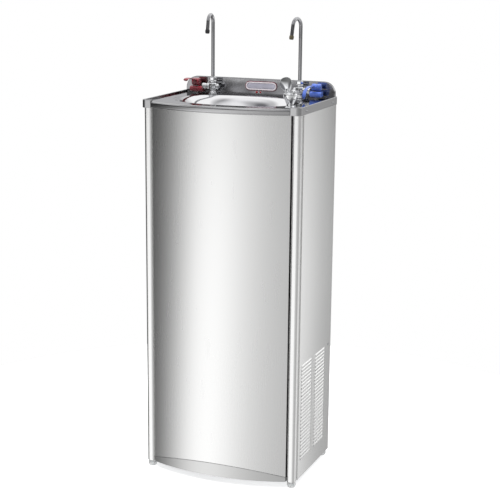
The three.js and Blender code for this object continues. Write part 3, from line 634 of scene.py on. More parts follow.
def make_feet():
    """Push-in plug feet, swollen like a mushroom under the tube."""
    top = FLOOR_GAP - 0.4
    skirt = [(AXIS, 0), (6.5, 0), (9.6, 1.4), (11.7, 4.2), (12.5, 8), (12.3, top - 5), (11.2, top - 2),
             (10.6, top), (8.5, top), (8.5, top + 14), (AXIS, top + 14)]
    for name in ("front_left", "front_right", "rear_left", "rear_right"):
        x, y, _ = middle(*limits(f"foot_{name}"))
        foot = moved(turned(skirt, 0.8, 36), at(x, y, 0))
        make(f"plug_{name}", foot, FOOT_PLASTIC, hides=f"foot_{name}")


# ---- side panels with pressed louvres ----
LOUVRE_COLUMNS = [(-88.0, 2.0), (28.0, 116.0)]
LOUVRE_ROWS = 27
LOUVRE_PITCH = 10.5
LOUVRE_LOWEST = FLOOR_GAP + 56.0
LOUVRE_BULGE = 2.9
LOUVRE_HEIGHT = 6.0
LOUVRE_END = 5.0                              # how far along a hood takes to reach its full swell
SLOT_HEIGHT = 4.4
SLOT_DROP = 0.6
SIDE_FLANGE = 12.0
SIDE_RIVET = (147.0, 352.0)


def louvre_hood(y0, y1, z):
    """One pressed hood: flush at its top and ends, open along its lower edge."""
    across, along = 8, 22
    loops = []
    for t in ramp(along):
        y = y0 + (y1 - y0) * t
        end = min(t, 1 - t) * (y1 - y0)
        swell = math.sin(min(end / LOUVRE_END, 1.0) * math.pi / 2)
        loop = []
        for s in ramp(across):
            rise = 1 - (1 - s) ** 1.25
            loop.append((SIDE_HIGH.x + LOUVRE_BULGE * swell * rise, y, z + LOUVRE_HEIGHT * (1 - s)))
        loops.append(loop)
    return loft(loops, caps=False, round_section=False)


def make_side(name, side):
    low, high = SIDE_LOW, SIDE_HIGH
    slots, hoods = [], []
    for y0, y1 in LOUVRE_COLUMNS:
        for row in range(LOUVRE_ROWS):
            z = LOUVRE_LOWEST + row * LOUVRE_PITCH
            slot = rounded_box(y1 - y0 - 2.0, SLOT_HEIGHT, 1.8, 4)
            slots.append(shifted(slot, (y0 + y1) / 2, z - SLOT_DROP))
            hoods.append(louvre_hood(y0, y1, z))
    sheet = plate(rectangle(low.y, low.z, high.y, high.z), slots, SHEET, 0.2)
    sheet = mirrored(moved(sheet, at(high.x - SHEET, 0, 0) @ SIDEWAYS), side)
    make(f"side_sheet_{name}", sheet, SIDE_SATIN, hides=f"side_panel_{name}")
    make(f"louvres_{name}", mirrored(merged(*hoods), side), SATIN, skin=-0.7)
    flange = rounded_box(SIDE_FLANGE, 1.0, 0.3, 2)
    flange = prism(shifted(flange, high.x - SHEET - SIDE_FLANGE / 2, low.y + 0.6), low.z, high.z)
    make(f"side_flange_{name}", mirrored(flange, side), SATIN)
    button = lathe([(AXIS, 0), (4.2, 0), (3.9, 1.2), (2.2, 2.0), (AXIS, 2.1)], 24)
    spot = moved(button, at(high.x, *SIDE_RIVET) @ aimed((1, 0, 0)))
    make(f"side_rivet_{name}", mirrored(spot, side), SCREW)


# ---- top rim ----
def make_front_rim():
    half = RIM_HIGH.x
    height = RIM_HIGH.z - RIM_LOW.z
    section = rounded_box(RIM_DEPTH, height, (2.5, 6.5, 5.5, 2.5), 8)
    z = (RIM_LOW.z + RIM_HIGH.z) / 2
    centre = RIM_OVERHANG - RIM_DEPTH / 2
    loops = [[(x, bow_y(x, centre - p.x), z + p.y) for p in section] for x in bow_stations(half)]
    make("front_rim", loft(loops), RIM_STEEL_PAINTED_SHADE, hides="front_rim_moulding")


def arc(cx, cy, radius, start, end, count=12):
    """Points along part of a circle, between two angles in degrees."""
    steps = [math.radians(start + (end - start) * t) for t in ramp(count)]
    return [(cx + radius * math.cos(a), cy + radius * math.sin(a)) for a in steps]


def strip_outline():
    """A side strip seen from above: its front corner is wide enough to cover the post."""
    outer = STRIP_HIGH.x
    thick = 3.5
    inner = outer - thick
    front, back = STRIP_LOW.y, STRIP_HIGH.y
    corner_back = front + RIM_DEPTH + 1.5
    turned_in = 22
    front_round, back_round = 14.0, 6.0
    return [
        (PANEL_HALF, front),
        *arc(outer - front_round, front + front_round, front_round, -90, 0),
        *arc(outer - back_round, back - back_round, back_round, 0, 90),
        (outer - turned_in, back),
        (outer - turned_in, back - thick),
        *arc(outer - back_round, back - back_round, back_round - thick, 90, 0),
        (inner, front + front_round + 2),
        (inner - 8, corner_back),
        (PANEL_HALF, corner_back),
    ]


def pan_screw(radius):
    """A pan-head screw: its head, and the cross recess in it."""
    head = [(AXIS, 0), (radius, 0), (radius, 0.7), (radius * 0.5, 1.9), (AXIS, 2.1)]
    bar = radius * 1.1
    cross = [prism(rounded_box(*size, 0.1, 1), 1.4, 2.25) for size in ((bar, 0.9), (0.9, bar))]
    return turned(head, 0.5, 24), merged(*cross)


def make_screw(prefix, suffix, radius, spot, side=1):
    # Each cross takes the near-black recess finish, painted shade for the hollow.
    for kind, part, material in zip(("", "_cross"), pan_screw(radius), (SCREW, RECESS_PAINTED_SHADE)):
        make(f"{prefix}{kind}_{suffix}", mirrored(moved(part, spot), side), material)


RIM_SCREW_Y = (-91.0, 129.0)


def make_side_rims():
    for name, side in SIDES:
        strip = mirrored(prism(strip_outline(), STRIP_LOW.z, STRIP_HIGH.z), side)
        make(f"rim_strip_{name}", strip, RIM_STEEL_PAINTED_SHADE, hides=f"side_rim_strip_{name}",
             edge=1.1, steps=3)
        for k, y in enumerate(RIM_SCREW_Y):
            spot = at(STRIP_HIGH.x, y, STRIP_LOW.z + 8) @ aimed((1, 0, 0))
            make_screw("rim_screw", f"{name}_{k}", 3.6, spot, side)


# ---- basin deck ----
LIP_ROUND = 5.0
BOWL_FLOOR = 0.24                             # the floor's share of the bowl's width
BOWL_BULGE = 2.3                              # 2 would be an ellipse; more is squarer
BOWL_STEPS = 160


def bowl_outline(grow, scale=1.0, z=0.0):
    points = []
    for a in full_turn(BOWL_STEPS):
        x = signed_power(math.cos(a), 2 / BOWL_BULGE) * (BOWL_HALF_WIDTH + grow)
        y = signed_power(math.sin(a), 2 / BOWL_BULGE) * (BOWL_HALF_DEPTH + grow)
        points.append(Vector((DRAIN.x + (x - DRAIN.x) * scale, DRAIN.y + (y - DRAIN.y) * scale, z)))
    return points


def bowl_loops():
    """Rings that leave the deck flat, fall in one slow sweep, and run out level at the drain."""
    loops = []
    for t in ramp(44):
        fall = (1 - math.cos(math.pi * t**0.85)) / 2
        grow = LIP_ROUND * (1 - t) ** 2
        loops.append(bowl_outline(grow, 1 - (1 - BOWL_FLOOR) * t, DECK_Z + (BOWL_BOTTOM - DECK_Z) * fall))
    for wider, dip in ((6, 0), (4.5, 0.3), (0, 1.2), (0, 2.4)):
        loops.append(shifted(circle(DRAIN_RADIUS + wider, BOWL_STEPS, BOWL_BOTTOM - dip), *DRAIN))
    return loops


def deck_outline():
    side = DECK_HIGH.x
    half = PANEL_HALF - 1
    corner = FRONT_Y + 6
    front = [(x, bow_y(x, RIM_OVERHANG - RIM_DEPTH - 0.4)) for x in bow_stations(half, 48)]
    right = [(half, corner), (side, corner), (side, DECK_HIGH.y)]
    left = [(-x, y) for x, y in reversed(right)]
    return front + right + left


def make_deck():
    flat = moved(plate(deck_outline(), [bowl_outline(LIP_ROUND)], SHEET, 0.05), at(0, 0, DECK_Z - SHEET))
    make("deck_plate", flat, POLISHED, hides="basin_deck")
    make("bowl", loft(bowl_loops(), caps=False), POLISHED, skin=-1.1, sharp=80.0)


def make_drain():
    spot = at(DRAIN.x, DRAIN.y, BOWL_BOTTOM)
    holes = [circle(1.9, 12)]
    for ring, count in ((6.0, 6), (11.0, 12), (15.8, 18)):
        holes += [shifted(circle(1.5, 10), p.x, p.y) for p in circle(ring, count)]
    disc = plate(circle(DRAIN_RADIUS + 3.6, 64), holes, 1.6, 0.5)
    make("strainer", moved(disc, spot @ at(0, 0, 1.0)), CHROME, hides="drain_strainer")
    tail = [(16.2, 0.6), (17.2, 0.6), (17.2, -24), (19.5, -24), (19.5, -31), (15.2, -31), (15.2, -33.5),
            (14.2, -33.5)]
    make("strainer_tail", moved(turned(tail, 0.5), spot), CHROME)


# ---- backsplash ----
def eased_face(width, height, radii, depth, ease):
    """A pressed tray: its face towards -y, with an eased edge and sides turned back."""
    loops = []
    for t in ramp(5):
        a = math.pi / 2 * t
        inset, back = ease * (1 - math.sin(a)), ease * (1 - math.cos(a))
        inner_radii = tuple(max(r - inset, 0.3) for r in radii)
        outline = rounded_box(width - 2 * inset, height - 2 * inset, inner_radii, 14)
        loops.append([(p.x, back, p.y) for p in outline])
    outline = rounded_box(width, height, radii, 14)
    loops.append([(p.x, depth, p.y) for p in outline])
    points, faces = loft(loops, caps=False)
    faces.append(tuple(reversed(range(len(loops[0])))))
    return points, faces


def make_backsplash():
    width = SPLASH_HIGH.x - SPLASH_LOW.x
    height = SPLASH_HIGH.z - SPLASH_LOW.z
    tray = eased_face(width, height, (33.0, 33.0, 0.5, 0.5), SPLASH_HIGH.y - SPLASH_LOW.y, 1.6)
    tray = moved(tray, at(0, SPLASH_LOW.y, (SPLASH_HIGH.z + SPLASH_LOW.z) / 2))
    make("splash_plate", tray, SPLASH_STEEL_PAINTED_SHADE, hides="backsplash", skin=-1.1)


def stadium(length, height):
    return rounded_box(length, height, height / 2 - 0.02, 12)


def make_window():
    low, high = limits("window_bezel")
    x, _, z = middle(low, high)
    length, height = high.x - low.x, high.z - low.z
    gasket = plate(stadium(length + 4.5, height + 4.5), [stadium(length - 1, height - 1)], 1.0, 0.4)
    make("window_gasket", facing(gasket, x, low.y + 1.0, z), MAROON)
    bezel = plate(stadium(length, height), [stadium(length - 7, height - 7)], 2.6, 0.9)
    bezel = facing(bezel, x, low.y - 0.6, z)
    make("window_frame", bezel, WHITE, hides="window_bezel")
    loops = []
    for t in ramp(7):
        outline = stadium(length - 7.2 - 8 * t**2, height - 7.2 - 8 * t**2)
        loops.append([(p.x, 1.2 - 1.5 * math.sin(t * math.pi / 2), p.y) for p in outline])
    points, faces = loft(loops, caps=False)
    faces.append(tuple(range(len(points) - len(loops[0]), len(points))))
    pane = moved((points, faces), at(x, low.y, z))
    make("window_pane", pane, WINDOW, hides="window_lens", skin=-1.5)


def make_lamps():
    dome = [(AXIS, -2.5), (3.0, -2.5), (3.0, 1.4), (2.6, 2.6), (1.5, 3.5), (AXIS, 3.8)]
    for node, scale in (("lamp_power", 1.25), ("lamp_heating", 1.0)):
        x, _, z = middle(*limits(node))
        spot = at(x, SPLASH_LOW.y, z) @ aimed((0, -1, 0))
        lens = lathe([(r * scale, h) for r, h in rounded_profile(dome, 0.8)], 28)
        make(f"{node}_lens", moved(lens, spot), LAMP, hides=node)
        collar = lathe([(3.1 * scale, 0), (4.3 * scale, 0), (4.1 * scale, 0.9), (3.2 * scale, 1.2)], 28)
        make(f"{node}_collar", moved(collar, spot), CHROME)


# ---- gooseneck taps ----
SPOUT_RADIUS = 5.0
SPOUT_BEND = 21.5
SPOUT_SWEEP = math.radians(168)
TAP_FOOT = DECK_Z + 0.4
NUT_Z = 38.4                                  # the spout nut's underside above the tap's foot


def gooseneck_line(start, bend_z, leg):
    """A stem that rises from start, bends over towards the front and comes down for the length of leg."""
    line = [Vector((0, 0, z)) for z in (start, start + 40, bend_z - 15)]
    for t in ramp(28):
        a = SPOUT_SWEEP * t
        line.append(Vector((0, -SPOUT_BEND * (1 - math.cos(a)), bend_z + SPOUT_BEND * math.sin(a))))
    down = Vector((0, -math.sin(SPOUT_SWEEP), math.cos(SPOUT_SWEEP)))
    line.append(line[-1] + down * leg)
    return line, down


def make_spout(prefix, side, turn, top, leg, tip_finish):
    """The nut, the gooseneck and its tip; turn is how far it stands from straight ahead, in degrees."""
    spot = at(side * TAP_X, TAP_Y, TAP_FOOT)
    body = f"{prefix}_spout_arm"
    collar = [(AXIS, 8), (8.3, 8), (8.0, 10.6), (5.8, 11.2), (AXIS, 11.2)]
    collar = turned([(r, NUT_Z + z) for r, z in collar], 0.8)
    nut = merged(prism(circle(10.4, 6), NUT_Z, NUT_Z + 8.2), collar)
    make(f"{prefix}_nut", moved(nut, spot), CHROME, hides=f"{prefix}_spout_nut", edge=0.7)
    bend_z = top - DECK_Z - SPOUT_RADIUS - SPOUT_BEND
    line, down = gooseneck_line(NUT_Z + 11.6, bend_z, leg)
    aim = spot @ turned_by(turn, "Z")
    make(f"{prefix}_neck", moved(tube(line, SPOUT_RADIUS, 28), aim), NECK_STEEL_PAINTED_SHADE, body,
         hides=f"{prefix}_spout")
    cap = [(AXIS, 0.4), (6.0, 0.4), (6.4, 3), (6.4, 7.5), (5.9, 8.6), (6.1, 9.4), (5.4, 11), (3.4, 11),
           (3.2, 7), (AXIS, 7)]
    tip = moved(turned(cap, 0.5, 32), aim @ Matrix.Translation(line[-1]) @ aimed(down))
    make(f"{prefix}_tip", tip, tip_finish, body, hides=f"{prefix}_nozzle")


HUB_END = 64.0


def lever_shape(reach, drop, raised, hub_start, hub_radius, finger_x, finger_wide):
    """The hub with its finger, which runs forwards, widens and curls down at its tip.

    The finger reaches forwards and drops at its tip; raised tips hub and finger up, in degrees. hub_start and
    finger_x are distances from the tap's middle along the hub.
    """
    knots = [Vector((2, 2)), Vector((reach / 2, 7)), Vector((reach + 6, 7)), Vector((reach, -drop))]
    loops = []
    for t in ramp(26):
        weights = ((1 - t) ** 3, 3 * t * (1 - t) ** 2, 3 * t**2 * (1 - t), t**3)
        p = sum((knot * w for knot, w in zip(knots, weights)), Vector((0, 0)))
        slopes = (-3 * (1 - t) ** 2, 3 * (1 - t) ** 2 - 6 * t * (1 - t), 6 * t * (1 - t) - 3 * t**2, 3 * t**2)
        d = sum((knot * w for knot, w in zip(knots, slopes)), Vector((0, 0))).normalized()
        ease = math.sin(min((1 - t) / 0.08, 1.0) * math.pi / 2) if t > 0.92 else 1.0
        thick = (2.3 - 0.6 * t) * max(ease, 0.25)
        wide = finger_wide * (1 + 0.25 * math.sin(t * math.pi / 2) ** 2) * max(ease, 0.55)
        loop = []
        for a in full_turn(20):
            across = signed_power(math.cos(a), 0.7) * wide
            up = signed_power(math.sin(a), 0.9) * thick
            loop.append((finger_x + across, -(p.x - d.y * up), p.y + d.x * up))
        loops.append(loop)
    start, end, r = hub_start, HUB_END, hub_radius
    hub = [(AXIS, start), (r - 2.4, start), (r - 0.8, start + 1), (r, start + 3), (r, 46), (r - 0.8, 46.8),
           (r - 0.8, 51.2), (r, 52), (r, end - 3), (r - 0.8, end - 1), (r - 2.4, end), (AXIS, end)]
    hub = moved(turned(hub, 0.5, 36), aimed((1, 0, 0)))
    return moved(merged(hub, loft(loops)), turned_by(-raised, "X"))


def make_tap(prefix, side, color, block_ends, lever):
    foot = at(side * TAP_X, TAP_Y, TAP_FOOT)
    stem = [(AXIS, 0), (15, 0), (15, 1.4), (14, 2.6), (11.4, 3.4), (10.6, 6), (9.6, 8), (9.6, 10), (11.4, 12),
            (12.2, 16), (12.2, 24), (11.4, 28), (9.4, 30), (9.4, 32), (10.4, 33), (10.4, 36), (8.6, 38),
            (AXIS, 38)]
    along = [(AXIS, -19), (5.0, -19), (7.6, -17.6), (8.5, -15), (8.5, -12), (7.4, -11), (7.4, 10),
             (9.2, 11.5), (9.2, 17), (8.0, 18.5), (8.0, 22), (9.0, 23), (9.0, 31.4), (8.2, 32.4),
             (AXIS, 32.4)]
    barrel = moved(turned(along, 0.6), at(0, 0, 20) @ aimed((1, 0, 0)))
    shank = lathe([(6.4, -32), (6.4, 0)], 24)
    ribs = [lathe([(6.9, -4.0 - 2.2 * k), (6.9, -5.0 - 2.2 * k)], 24) for k in range(10)]
    valve = mirrored(merged(turned(stem, 0.6), barrel, shank, *ribs), side)
    make(f"{prefix}_valve", moved(valve, foot), CHROME, hides=f"{prefix}_valve_body")

    base = shifted(rounded_box(25, 16, 6.5, 8), 0, 12)
    block = moved(prism(base, *block_ends), SIDEWAYS)
    block = moved(mirrored(block, side), foot)
    make(f"{prefix}_handle", block, color, hides=f"{prefix}_handle_base", edge=2.2, steps=4)
    post = turned([(AXIS, 0), (7, 0), (7, 1.2), (4, 2), (4, 3.8), (AXIS, 3.8)], 0.4, 28)
    make(f"{prefix}_handle_post", moved(mirrored(moved(post, at(49, 0, 0)), side), foot), CHROME)

    paddle = moved(mirrored(lever, side), foot @ at(0, 0, 32))
    make(f"{prefix}_paddle", paddle, color, body=f"{prefix}_lever_arm", hides=f"{prefix}_lever", sharp=60.0)


# ---- bubbler ----
BUTTON_AIM = Vector((0.42, -0.55, 0.72)).normalized()
BOSS_FOOT = Vector((7.0, -2.0, 34.0))


def make_bubbler():
    spot = at(*BUBBLER, TAP_FOOT)
    cup = [(AXIS, 0), (14, 0), (14, 1.4), (13, 2.6), (10.6, 3.6), (9.8, 6), (9.8, 10), (12.4, 16), (16.6, 24),
           (19.0, 31), (19.4, 35), (18.4, 37.6), (15, 39.4), (9, 40.6), (AXIS, 41)]
    shank = lathe([(6.4, -30), (6.4, 0)], 24)
    aim = Matrix.Translation(BOSS_FOOT) @ aimed(BUTTON_AIM)
    boss = turned([(AXIS, -6), (8, -6), (8, 12), (7.2, 13.6), (6.1, 14), (6.0, 5), (AXIS, 5)], 0.5, 36)
    body = merged(turned(cup, 1.0, 48), shank, moved(boss, aim))
    make("bubbler_cup", moved(body, spot), CHROME, hides="bubbler_body", sharp=50.0)
    push = moved(turned([(AXIS, 9), (5.4, 9), (5.5, 16), (4.2, 17.8), (AXIS, 18.4)], 0.8, 32), spot @ aim)
    make("bubbler_push", push, CHROME, "bubbler_push", hides="bubbler_button")
    nozzle = [(AXIS, 0), (4.4, 0), (4.0, 4.5), (3.0, 6.5), (1.6, 6.5), (1.4, 4), (AXIS, 4)]
    lean = at(-8, -7, 38.5) @ turned_by(24, "X")
    make("bubbler_nozzle", moved(turned(nozzle, 0.4, 28), spot @ lean), CHROME)
    make_guard(spot)


def make_guard(spot):
    """An egg-shaped cowl, dished towards the drinker, on a short neck."""
    count = 48
    loops = []
    for s in ramp(9)[1:]:
        loop = []
        for a in full_turn(count):
            up = math.sin(a)
            x, z = (16.0 + 5.0 * up) * math.cos(a) * s, 18.5 + 21.5 * up * s
            loop.append((x, 2.4 * (1 - s**2) - 1.0, z))
        loops.append(loop)
    points, faces = loft(loops, caps=False)
    faces.append(tuple(range(count)))
    neck = tube([(0, 1.0, z) for z in (0, 4, 8)], (5.2, 4.4, 4.8))
    lean = Matrix.Rotation(-0.3, 4, "Y") @ Matrix.Rotation(0.3, 4, "Z") @ Matrix.Rotation(-0.22, 4, "X")
    place = spot @ at(-7, 2, 41.8) @ lean
    make("bubbler_cowl", moved((points, faces), place), CHROME, hides="bubbler_guard",
         skin=1.6, edge=0.5, sharp=60.0)
    make("bubbler_cowl_neck", moved(neck, place), CHROME)


# ---- the back ----
DRAIN_OUTLET_Z = 100
VENT_X = 110
VENT_LOWEST = 220
VENT_PITCH = 16


def back_window(node, grow):
    low, high = limits(node)
    x, _, z = middle(low, high)
    return shifted(rounded_box(high.x - low.x + grow, high.z - low.z + grow, 1.0, 3), x, z)


def make_back():
    low, high = BACK_LOW, BACK_HIGH
    water_x, _, water_z = middle(*limits("water_inlet"))
    holes = [
        back_window("control_box", 1.0),
        back_window("power_inlet", -8.0),
        shifted(circle(11, 24), water_x, water_z),
        shifted(circle(17, 32), 0, DRAIN_OUTLET_Z),
    ]
    vent = rounded_box(150, 6, 2.9, 5)
    holes += [shifted(vent, VENT_X, VENT_LOWEST + VENT_PITCH * row) for row in range(10)]
    sheet = facing(plate(rectangle(low.x, low.z, high.x, high.z), holes, SHEET, 0.2), 0, low.y, 0)
    make("back_sheet", sheet, ZINC, hides="back_panel")
    head, cross = pan_screw(4.0)
    spots = [(sx * (high.x - 12), z) for sx in (-1, 1) for z in (40, 290, 540, 790, 1035)]
    spots += [(x, z) for x in (-75, 75) for z in (32, 1040)]
    heads = [moved(head, at(x, high.y, z) @ aimed((0, 1, 0))) for x, z in spots]
    crosses = [moved(cross, at(x, high.y, z) @ aimed((0, 1, 0))) for x, z in spots]
    make("back_screws", merged(*heads), SCREW)
    # The crosses take the near-black recess finish: painted shade for the hollows.
    make("back_screw_crosses", merged(*crosses), RECESS_PAINTED_SHADE)


def make_power_inlet():
    """A socket inlet: a flange, a hollow with three pins in it, and two screws."""
    x, _, z = middle(*limits("power_inlet"))
    mouth = rounded_box(24, 16, 4, 5)
    flange = plate(rounded_box(50, 26, 5, 6), [mouth], 2.8, 0.7)
    wall = plate(rounded_box(31, 21, 2, 4), [mouth], 22.0, 0.2)
    floor = prism(rounded_box(30, 20, 2, 3), 0.0, 8.0)
    parts = ((flange, 0.3), (wall, -21.5), (floor, -21.0))
    shell = merged(*[facing(part, x, BACK_HIGH.y + out, z) for part, out in parts])
    make("inlet_shell", shell, BLACK, hides="power_inlet")
    pin = rounded_box(2.0, 4.2, 0.4, 2)
    pins = merged(*[prism(shifted(pin, *spot), 0, 9) for spot in ((-7, -1.5), (7, -1.5), (0, 2.5))])
    make("inlet_pins", facing(pins, x, BACK_HIGH.y - 14, z), BRASS, edge=0.3)
    for k, dx in enumerate((-20.0, 20.0)):
        spot = at(x + dx, BACK_HIGH.y + 3.0, z) @ aimed((0, 1, 0))
        make_screw("inlet_screw", k, 2.6, spot)


def make_water_fittings():
    """The threaded inlet with its nut, and the drain's collar."""
    x, _, z = middle(*limits("water_inlet"))
    spot = at(x, BACK_HIGH.y, z) @ aimed((0, 1, 0))
    thread = [(6.2, -26), (10.3, -26), (10.3, 4)]
    pitch = 1.6
    for k in range(4):
        start = 4.4 + k * pitch
        thread += [(10.4, start), (9.4, start + pitch / 2), (10.4, start + pitch)]
    thread += [(9.6, 11.6), (6.4, 11.8), (6.2, 10)]
    nipple = moved(lathe(thread), spot)
    make("inlet_nipple", nipple, BRASS, hides="water_inlet", sharp=50.0)
    make("inlet_nut", moved(prism(circle(16, 6), 0.5, 4.6), spot), BRASS, edge=0.6)

    collar = turned([(15.2, 0), (18.5, 0), (18.5, 2.4), (17.6, 3.4), (15.2, 3.4)], 0.8)
    spot = at(0, BACK_HIGH.y + 0.2, DRAIN_OUTLET_Z) @ aimed((0, 1, 0))
    make("drain_grommet", moved(collar, spot), BLACK)


def make_controls():
    low, high = limits("control_box")
    x, _, z = middle(low, high)
    holes = [shifted(rounded_box(15.4, 25.4, 1.5, 3), 22, dz) for dz in (25, -25)]
    holes.append(shifted(circle(4.2, 24), -20, 0))
    fascia = plate(rounded_box(high.x - low.x, high.z - low.z, 5, 6), holes, 1.4, 0.5)
    make("control_fascia", facing(fascia, x, high.y + 0.05, z), BLACK)
    half = [(-6, -10.4), (1.6, -10.4), (2.5, -9.6), (1.2, -4.5)]
    side = [*half, (0.6, 0), *[(a, -b) for a, b in reversed(half)], (-8, 0)]
    rocker = moved(prism(side, -6.3, 6.3), SIDEWAYS)
    for name, color, body in (("heat_rocker", RED, "heat_switch"), ("cool_rocker", BLUE, "cool_switch")):
        low, high = limits(name)
        x, _, z = middle(low, high)
        key = moved(rocker, at(x, high.y - 2.4, z))
        make(f"{name}_key", key, color, body=body, hides=name, edge=0.7, steps=3)


def make_knob():
    """A fluted knob with a white mark."""
    x, _, z = middle(*limits("thermostat_knob"))
    spot = at(x, BACK_HIGH.y + 2.0, z) @ aimed((0, 1, 0))
    loops = []
    for radius, height, flute in ((12.6, 0.4, 0.0), (13.0, 1.4, 0.0), (12.4, 2.0, 0.5), (11.8, 7.6, 0.5),
                                  (10.8, 8.9, 0.2), (9.6, 9.2, 0.0)):
        ring = circle(radius, 72, height)
        loops.append([p - p.xy.normalized().to_3d() * flute if i % 4 > 1 else p for i, p in enumerate(ring)])
    knob = merged(loft(loops), lathe([(3.0, -8), (3.0, 0.4)], 24))
    make("knob_cap", moved(knob, spot), BLACK, "thermostat", hides="thermostat_knob",
         sharp=50.0)
    mark = moved(prism(rounded_box(1.2, 5.5, 0.5, 3), 9.0, 9.7), at(0, 7.2, 0))
    make("knob_mark", moved(mark, spot), WHITE, "thermostat")


# ---- inside the cabinet ----
def make_condenser():
    """Upright fins across rows of copper tube with return bends."""
    low, high = limits("condenser")
    spots = [low.y + 4 + (high.y - low.y - 8) * t for t in ramp(45)]
    fins = [prism(rectangle(low.x, y - 0.2, high.x, y + 0.2), low.z, high.z) for y in spots]
    make("condenser_fins", merged(*fins), ZINC, hides="condenser")
    line = []
    x, _, _ = middle(low, high)
    ends = (low.y + 6, high.y - 6)
    for t in ramp(8):
        z = low.z + 14 + (high.z - low.z - 28) * t
        line += [(x, y, z) for y in ends]
        ends = ends[::-1]
    make("condenser_tube", tube(line, 3.4, 12), COPPER, sharp=80.0)


def make_compressor():
    low, high = limits("compressor")
    x, y, _ = middle(low, high)
    spot = at(x, y, low.z)
    can = [(AXIS, 3), (44, 3), (50, 8), (64, 22), (71, 38), (73, 60), (73, 94), (75, 95), (75, 101),
           (73, 102), (72.5, 130), (69, 155), (58, 174), (36, 185), (AXIS, 189)]
    corners = [(x, y) for x in (-72, 72) for y in (-52, 52)]
    foot = plate(rounded_box(170, 130, 12, 6), [shifted(circle(5, 16), *c) for c in corners], 3, 0.6)
    grommet = turned([(4, 0), (9, 0), (7.5, 5), (9, 10), (4, 10)], 1.0, 24)
    grommets = [moved(grommet, at(*c, 0)) for c in corners]
    box = moved(prism(rounded_box(46, 30, 4, 4), 0, 52), at(0, -70, 70))
    shell = merged(turned(can, 4.0, 56), moved(foot, at(0, 0, 6)))
    make("compressor_shell", moved(shell, spot), BLACK_PAINT, hides="compressor")
    make("compressor_grommets", moved(merged(*grommets), spot), BLACK)
    make("compressor_terminals", moved(box, spot), BLACK, edge=1.5)


def make_drier():
    """The filter drier and the refrigerant lines that join the cooling parts."""
    can = turned([(3, 0), (9.5, 8), (9.5, 82), (3, 92)], 2.5, 28)
    make("filter_drier", moved(can, at(60, 120, 130)), COPPER)
    low, high = limits("compressor")
    x, y, _ = middle(low, high)
    z = high.z
    lines = [
        [(x + 40, y + 20, z - 26), (x + 40, y + 20, z + 30), (x + 40, 120, z + 45), (60, 120, z + 45),
         (60, 120, 220)],
        [(60, 120, 132), (60, 120, 90), (90, 116, 70), (176, 96, 70), (192, 96, 84)],
        [(x - 30, y + 10, z - 20), (x - 30, y + 10, 300), (x - 30, 110, 330), (70, 112, 360), (98, 90, 546)],
    ]
    for k, line in enumerate(lines):
        bent = tube(rounded_corners(line, 16.0, 8, 2.2), 3.0, 14)
        make(f"refrigerant_line_{k}", bent, COPPER, sharp=80.0)


def dress_shown_nodes():
    """Gives a finish to each CAD node that is shown as it is."""
    for node, material in {
        "post_rear_left": ZINC, "post_rear_right": ZINC, "base_pan": ZINC, "tank_shelf": ZINC,
        "cold_tank": TANK_STEEL, "hot_tank": TANK_STEEL, "cold_tank_jacket": FOAM, "heating_element": COPPER,
        "fan_frame": BLACK_PAINT, "fan_rotor": BLACK, "cold_supply_pipe": HOSE, "hot_supply_pipe": HOSE,
        "bubbler_supply_pipe": HOSE, "drain_pipe": GREY_PIPE, "control_box": BLACK,
    }.items():
        mesh = NODES[node].data
        mesh.materials.clear()
        mesh.materials.append(material)


# ---- studio ----
FLOOR_RADIUS = 1250.0
FLOOR_GLOW = 0.62


def make_floor():
    material, f = new_finish("studio_floor")
    grain = f.noise((3.0, 3.0, 3.0))
    f.surface({
        "Base Color": f.mix(grain, grey(0.90), grey(0.93)),
        "Roughness": grain * 0.1 + 0.75,
        "Emission Color": grey(1.0),
        "Emission Strength": FLOOR_GLOW,
    })
    mesh = bpy.data.meshes.new("studio_floor")
    points, faces = [p * MM for p in circle(FLOOR_RADIUS, 96)], [tuple(range(96))]
    mesh.from_pydata(points, [], faces)
    mesh.materials.append(material)
    floor = linked("studio_floor", mesh)
    floor.visible_glossy = False


# How bright the studio is at each turn round the object, in degrees: 0 is straight in front, a negative turn
# is to the left.
AROUND = [
    (-180, 0.22), (-120, 0.16), (-85, 0.03), (-68, 0.07), (-57, 0.20), (-45, 0.54), (-33, 0.93), (-20, 1.0),
    (-6, 0.80), (8, 0.60), (22, 0.50), (60, 0.36), (110, 0.45), (140, 0.90), (152, 0.82), (158, 0.62),
    (165, 0.36), (180, 0.22),
]
TURN_OFFSET = 0.478
TURN_LEAN = 0.111
STUDIO_LEVEL = 1.45


